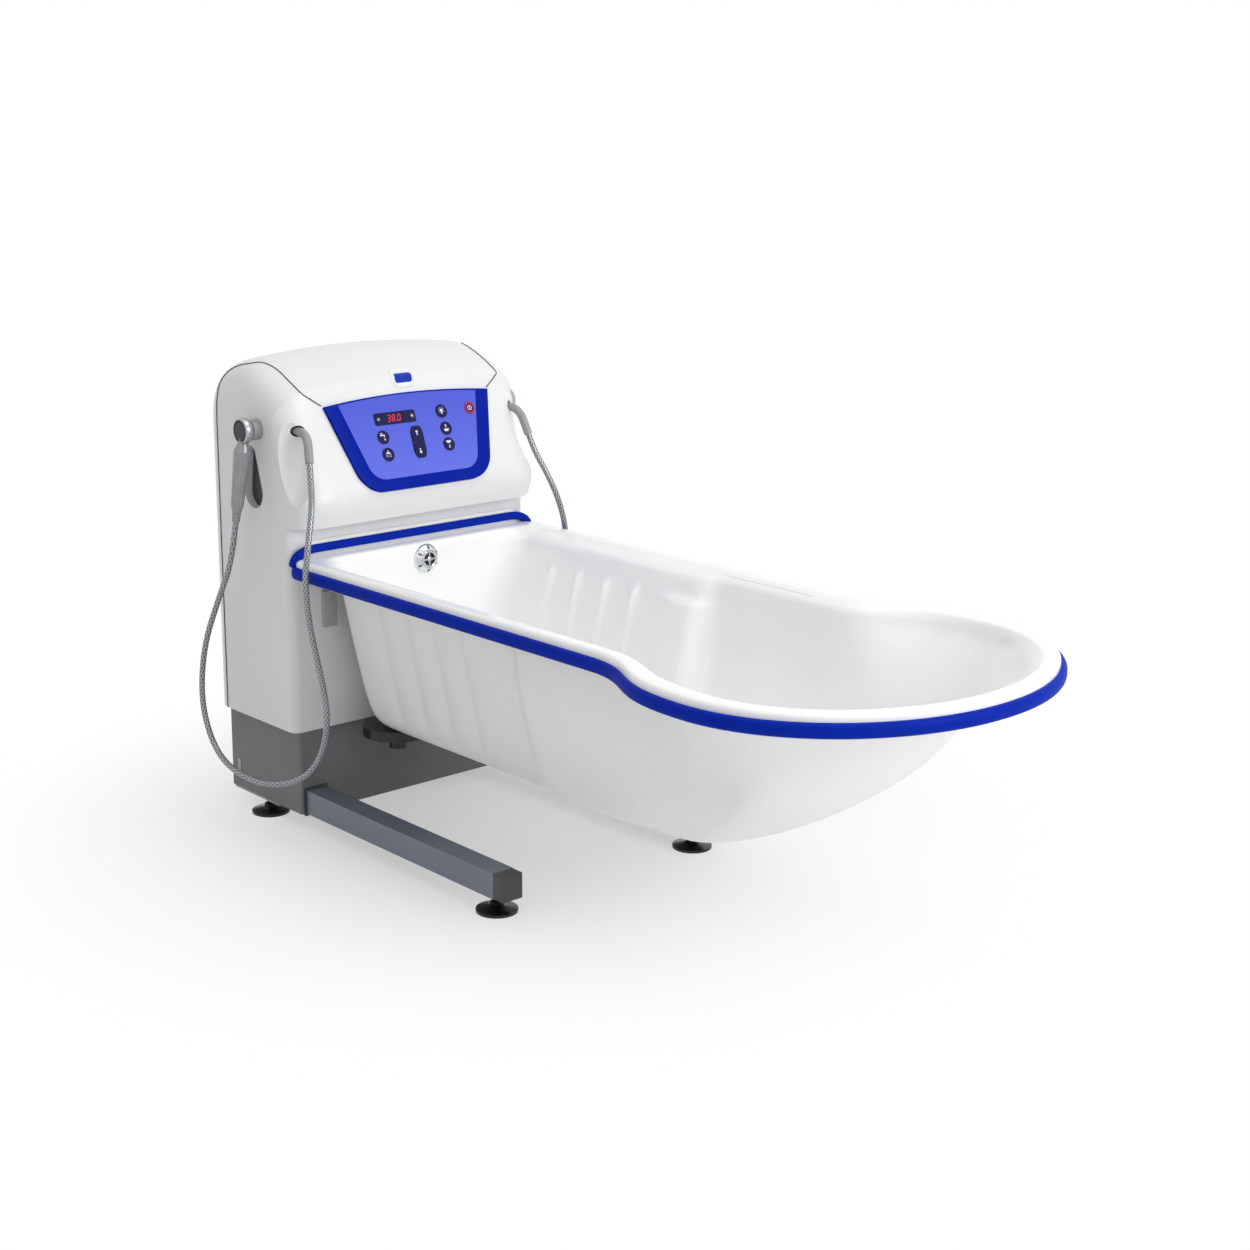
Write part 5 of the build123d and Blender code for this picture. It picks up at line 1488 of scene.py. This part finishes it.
NODE_FINISHES = (
    (thermoformed, ("front_cover", "hood")),
    (lens_blue, ("hood_lens",)),
    (display_tint, ("display_window",)),
    (key_navy, tuple(ROUND_KEYS) + tuple(OBLONG_KEYS)),
    (black_box, ("control_box", "waste_trap")),
    (powder_coat, ("base_shroud", "base_rear_cover")),
    (thermoformed, ("middle_shroud",)),
    (enamel, ("leg_left", "leg_right")),
    (polypropylene, ("leg_caps", "leg_collars")),
    (rubber, ("foot_pads",)),
    (black_oxide, ("foot_stems", "foot_nuts")),
    (zinc, ("base_bolts", "inlet_screws", "lift_spindle")),
    (galvanised, ("base_frame", "carriage", "tub_frame")),
    (anodised, ("column_outer", "column_middle", "column_inner")),
    (cast_aluminium, ("lift_motor",)),
    (nylon_light, ("bracket_covers", "seam_clips", "inlet_plate")),
    (nylon_grey, ("elbow_left", "elbow_right", "holder_left", "holder_right")),
    (brass, ("mixing_valve", "inlet_nipples")),
    (copper, ("water_pipes",)),
    (chrome, ("drain_plug",)),
)


class BATH_OT_node_finishes(bpy.types.Operator):
    """Give every solid that stays in view its real material"""

    bl_idname = "bath.node_finishes"
    bl_label = "Solid finishes"

    def execute(self, context):
        for build, names in NODE_FINISHES:
            for name in names:
                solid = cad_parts[name]
                for slot in solid.material_slots:
                    slot.material = build()
        return {"FINISHED"}


# Floor and surroundings: side of the floor, middle of the grey patch under the bath, the distances over
# which it turns white, the white left in its middle, and the world's light

FLOOR_SIZE = 24.0
SHADE_MIDDLE, SHADE_NEAR, SHADE_FAR, SHADE_LEAST = (-0.45, 0.1, 0.0), 0.25, 1.45, 0.42
WORLD_LIGHT = 0.56

# Lamps: name, place, diameter and power; all face the middle of the bath

LAMPS = (
    ("Soft key", (4.2, 0.9, 2.6), 2.6, 98.0),
    ("Soft fill", (0.4, -4.2, 2.6), 2.4, 3.0),
    ("Soft top", (0.4, 0.3, 4.2), 2.8, 38.0),
)
LAMP_AIM = Vector((0.0, 0.0, 0.6))

# Camera, fitted to the photograph: place, downward tilt, heading, lens and picture shifts

CAMERA_PLACE = (3.115, -2.816, 1.672)
CAMERA_TILT, CAMERA_HEADING = math.radians(12.72), math.radians(49.04)
CAMERA_LENS, CAMERA_SHIFT = 57.9, (0.0447, -0.05)


def maths(tree, kind, a, b):
    """Add a maths node on two sources."""
    return node(tree, "ShaderNodeMath", links={0: a, 1: b}, operation=kind).outputs["Value"]


class BATH_OT_stage(bpy.types.Operator):
    """Set the floor, the soft lights, the white surroundings and the camera"""

    bl_idname = "bath.stage"
    bl_label = "Stage"

    def execute(self, context):
        scene = context.scene
        self.floor(scene)
        self.surroundings(scene)
        for name, place, size, power in LAMPS:
            lamp = bpy.data.lights.new(name, "AREA")
            lamp.shape = "DISK"
            lamp.size = size
            lamp.energy = power
            holder = bpy.data.objects.new(name, lamp)
            holder.location = place
            holder.rotation_euler = (LAMP_AIM - Vector(place)).to_track_quat("-Z", "Y").to_euler()
            scene.collection.objects.link(holder)

        lens = bpy.data.cameras.new("Camera")
        lens.sensor_width = 36.0
        lens.lens = CAMERA_LENS
        lens.shift_x, lens.shift_y = CAMERA_SHIFT
        lens.clip_start = 0.05
        camera = bpy.data.objects.new("Camera", lens)
        camera.location = CAMERA_PLACE
        camera.rotation_euler = (math.pi / 2 - CAMERA_TILT, 0.0, CAMERA_HEADING)
        scene.collection.objects.link(camera)
        scene.camera = camera
        scene.view_settings.view_transform = "Standard"
        return {"FINISHED"}

    def floor(self, scene):
        """Pale floor that keeps the bath's shadow and turns white further out."""
        clear()
        bpy.ops.mesh.primitive_plane_add(size=FLOOR_SIZE, location=(0.0, 0.0, 0.0))
        floor = bpy.context.object
        floor.name = "Floor"
        made, tree, out = blank("Floor, painted screed")
        where = node(tree, "ShaderNodeTexCoord").outputs["Object"]
        haze = node(tree, "ShaderNodeTexNoise", {"Scale": 0.6, "Detail": 2.0}, {"Vector": where})
        tone = tuple(scene.bath_stage.floor_colour)
        colour = ramp(tree, haze.outputs["Fac"], (*[c * 0.99 for c in tone], 1.0), (*tone, 1.0))
        shader = node(
            tree, "ShaderNodeBsdfPrincipled", {"Roughness": 0.9, "Specular IOR Level": 0.1},
            {"Base Color": colour.outputs["Color"]},
        )
        reach = node(tree, "ShaderNodeVectorMath", {1: SHADE_MIDDLE}, {0: where}, operation="DISTANCE")
        fade = node(
            tree, "ShaderNodeMapRange",
            {"From Min": SHADE_NEAR, "From Max": SHADE_FAR, "To Min": SHADE_LEAST},
            {"Value": reach.outputs["Value"]}, interpolation_type="SMOOTHSTEP",
        )
        rays = node(tree, "ShaderNodeLightPath").outputs
        first = maths(tree, "MAXIMUM", rays["Is Camera Ray"], rays["Is Glossy Ray"])
        seen = maths(tree, "MULTIPLY", first, fade.outputs["Result"])
        white = node(tree, "ShaderNodeEmission", {"Color": (1, 1, 1, 1), "Strength": 1.0})
        both = node(
            tree, "ShaderNodeMixShader",
            links={0: seen, 1: shader.outputs["BSDF"], 2: white.outputs["Emission"]},
        )
        tree.links.new(both.outputs["Shader"], out.inputs["Surface"])
        floor.data.materials.append(made)

    def surroundings(self, scene):
        """Plain world light that looks white to the camera, to gloss and through glass."""
        world = bpy.data.worlds.new("Studio surroundings")
        scene.world = world
        world.use_nodes = True
        tree = world.node_tree
        tree.nodes.clear()
        rays = node(tree, "ShaderNodeLightPath").outputs
        first = maths(tree, "MAXIMUM", rays["Is Camera Ray"], rays["Is Glossy Ray"])
        seen = maths(tree, "MAXIMUM", first, rays["Is Transmission Ray"])
        light = node(tree, "ShaderNodeBackground", {"Color": (1, 1, 1, 1), "Strength": WORLD_LIGHT})
        white = node(tree, "ShaderNodeBackground", {"Color": (1, 1, 1, 1), "Strength": 1.0})
        both = node(
            tree, "ShaderNodeMixShader",
            links={0: seen, 1: light.outputs["Background"], 2: white.outputs["Background"]},
        )
        node(tree, "ShaderNodeOutputWorld", links={"Surface": both.outputs["Shader"]})


# Operators in the order in which main runs them

OPERATORS = (
    BATH_OT_tub,
    BATH_OT_bumpers,
    BATH_OT_hand_showers,
    BATH_OT_hoses,
    BATH_OT_panel_surround,
    BATH_OT_panel_prints,
    BATH_OT_cabinet_trim,
    BATH_OT_overflow,
    BATH_OT_node_finishes,
    BATH_OT_stage,
)


class BATH_PT_panel(bpy.types.Panel):
    """Lists the settings and the operators in the sidebar"""

    bl_label = "Assisted bath"
    bl_idname = "BATH_PT_panel"
    bl_space_type = "VIEW_3D"
    bl_region_type = "UI"
    bl_category = "Bath"

    def draw(self, context):
        layout = self.layout
        scene = context.scene
        for group in (scene.bath_tub, scene.bath_hose, scene.bath_panel, scene.bath_stage):
            box = layout.box()
            for key in type(group).__annotations__:
                box.prop(group, key)
        for made in OPERATORS:
            layout.operator(made.bl_idname)


# Names under which the scene keeps the settings

SETTINGS = (
    ("bath_tub", BathTubSettings),
    ("bath_hose", BathHoseSettings),
    ("bath_panel", BathPanelSettings),
    ("bath_stage", BathStageSettings),
)


def register():
    """Register the settings, the operators and the panel."""
    for name, group in SETTINGS:
        bpy.utils.register_class(group)
        setattr(bpy.types.Scene, name, bpy.props.PointerProperty(type=group))
    for made in OPERATORS + (BATH_PT_panel,):
        bpy.utils.register_class(made)


def unregister():
    """Take back what register added."""
    for made in reversed(OPERATORS + (BATH_PT_panel,)):
        bpy.utils.unregister_class(made)
    for name, group in reversed(SETTINGS):
        delattr(bpy.types.Scene, name)
        bpy.utils.unregister_class(group)


def main():
    """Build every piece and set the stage."""
    register()
    clear()
    bpy.ops.bath.tub()
    bpy.ops.bath.bumpers()
    bpy.ops.bath.hand_showers()
    bpy.ops.bath.hoses()
    bpy.ops.bath.panel_surround()
    bpy.ops.bath.panel_prints()
    bpy.ops.bath.cabinet_trim()
    bpy.ops.bath.overflow()
    bpy.ops.bath.node_finishes()
    bpy.ops.bath.stage()


if __name__ == "__main__":
    main()
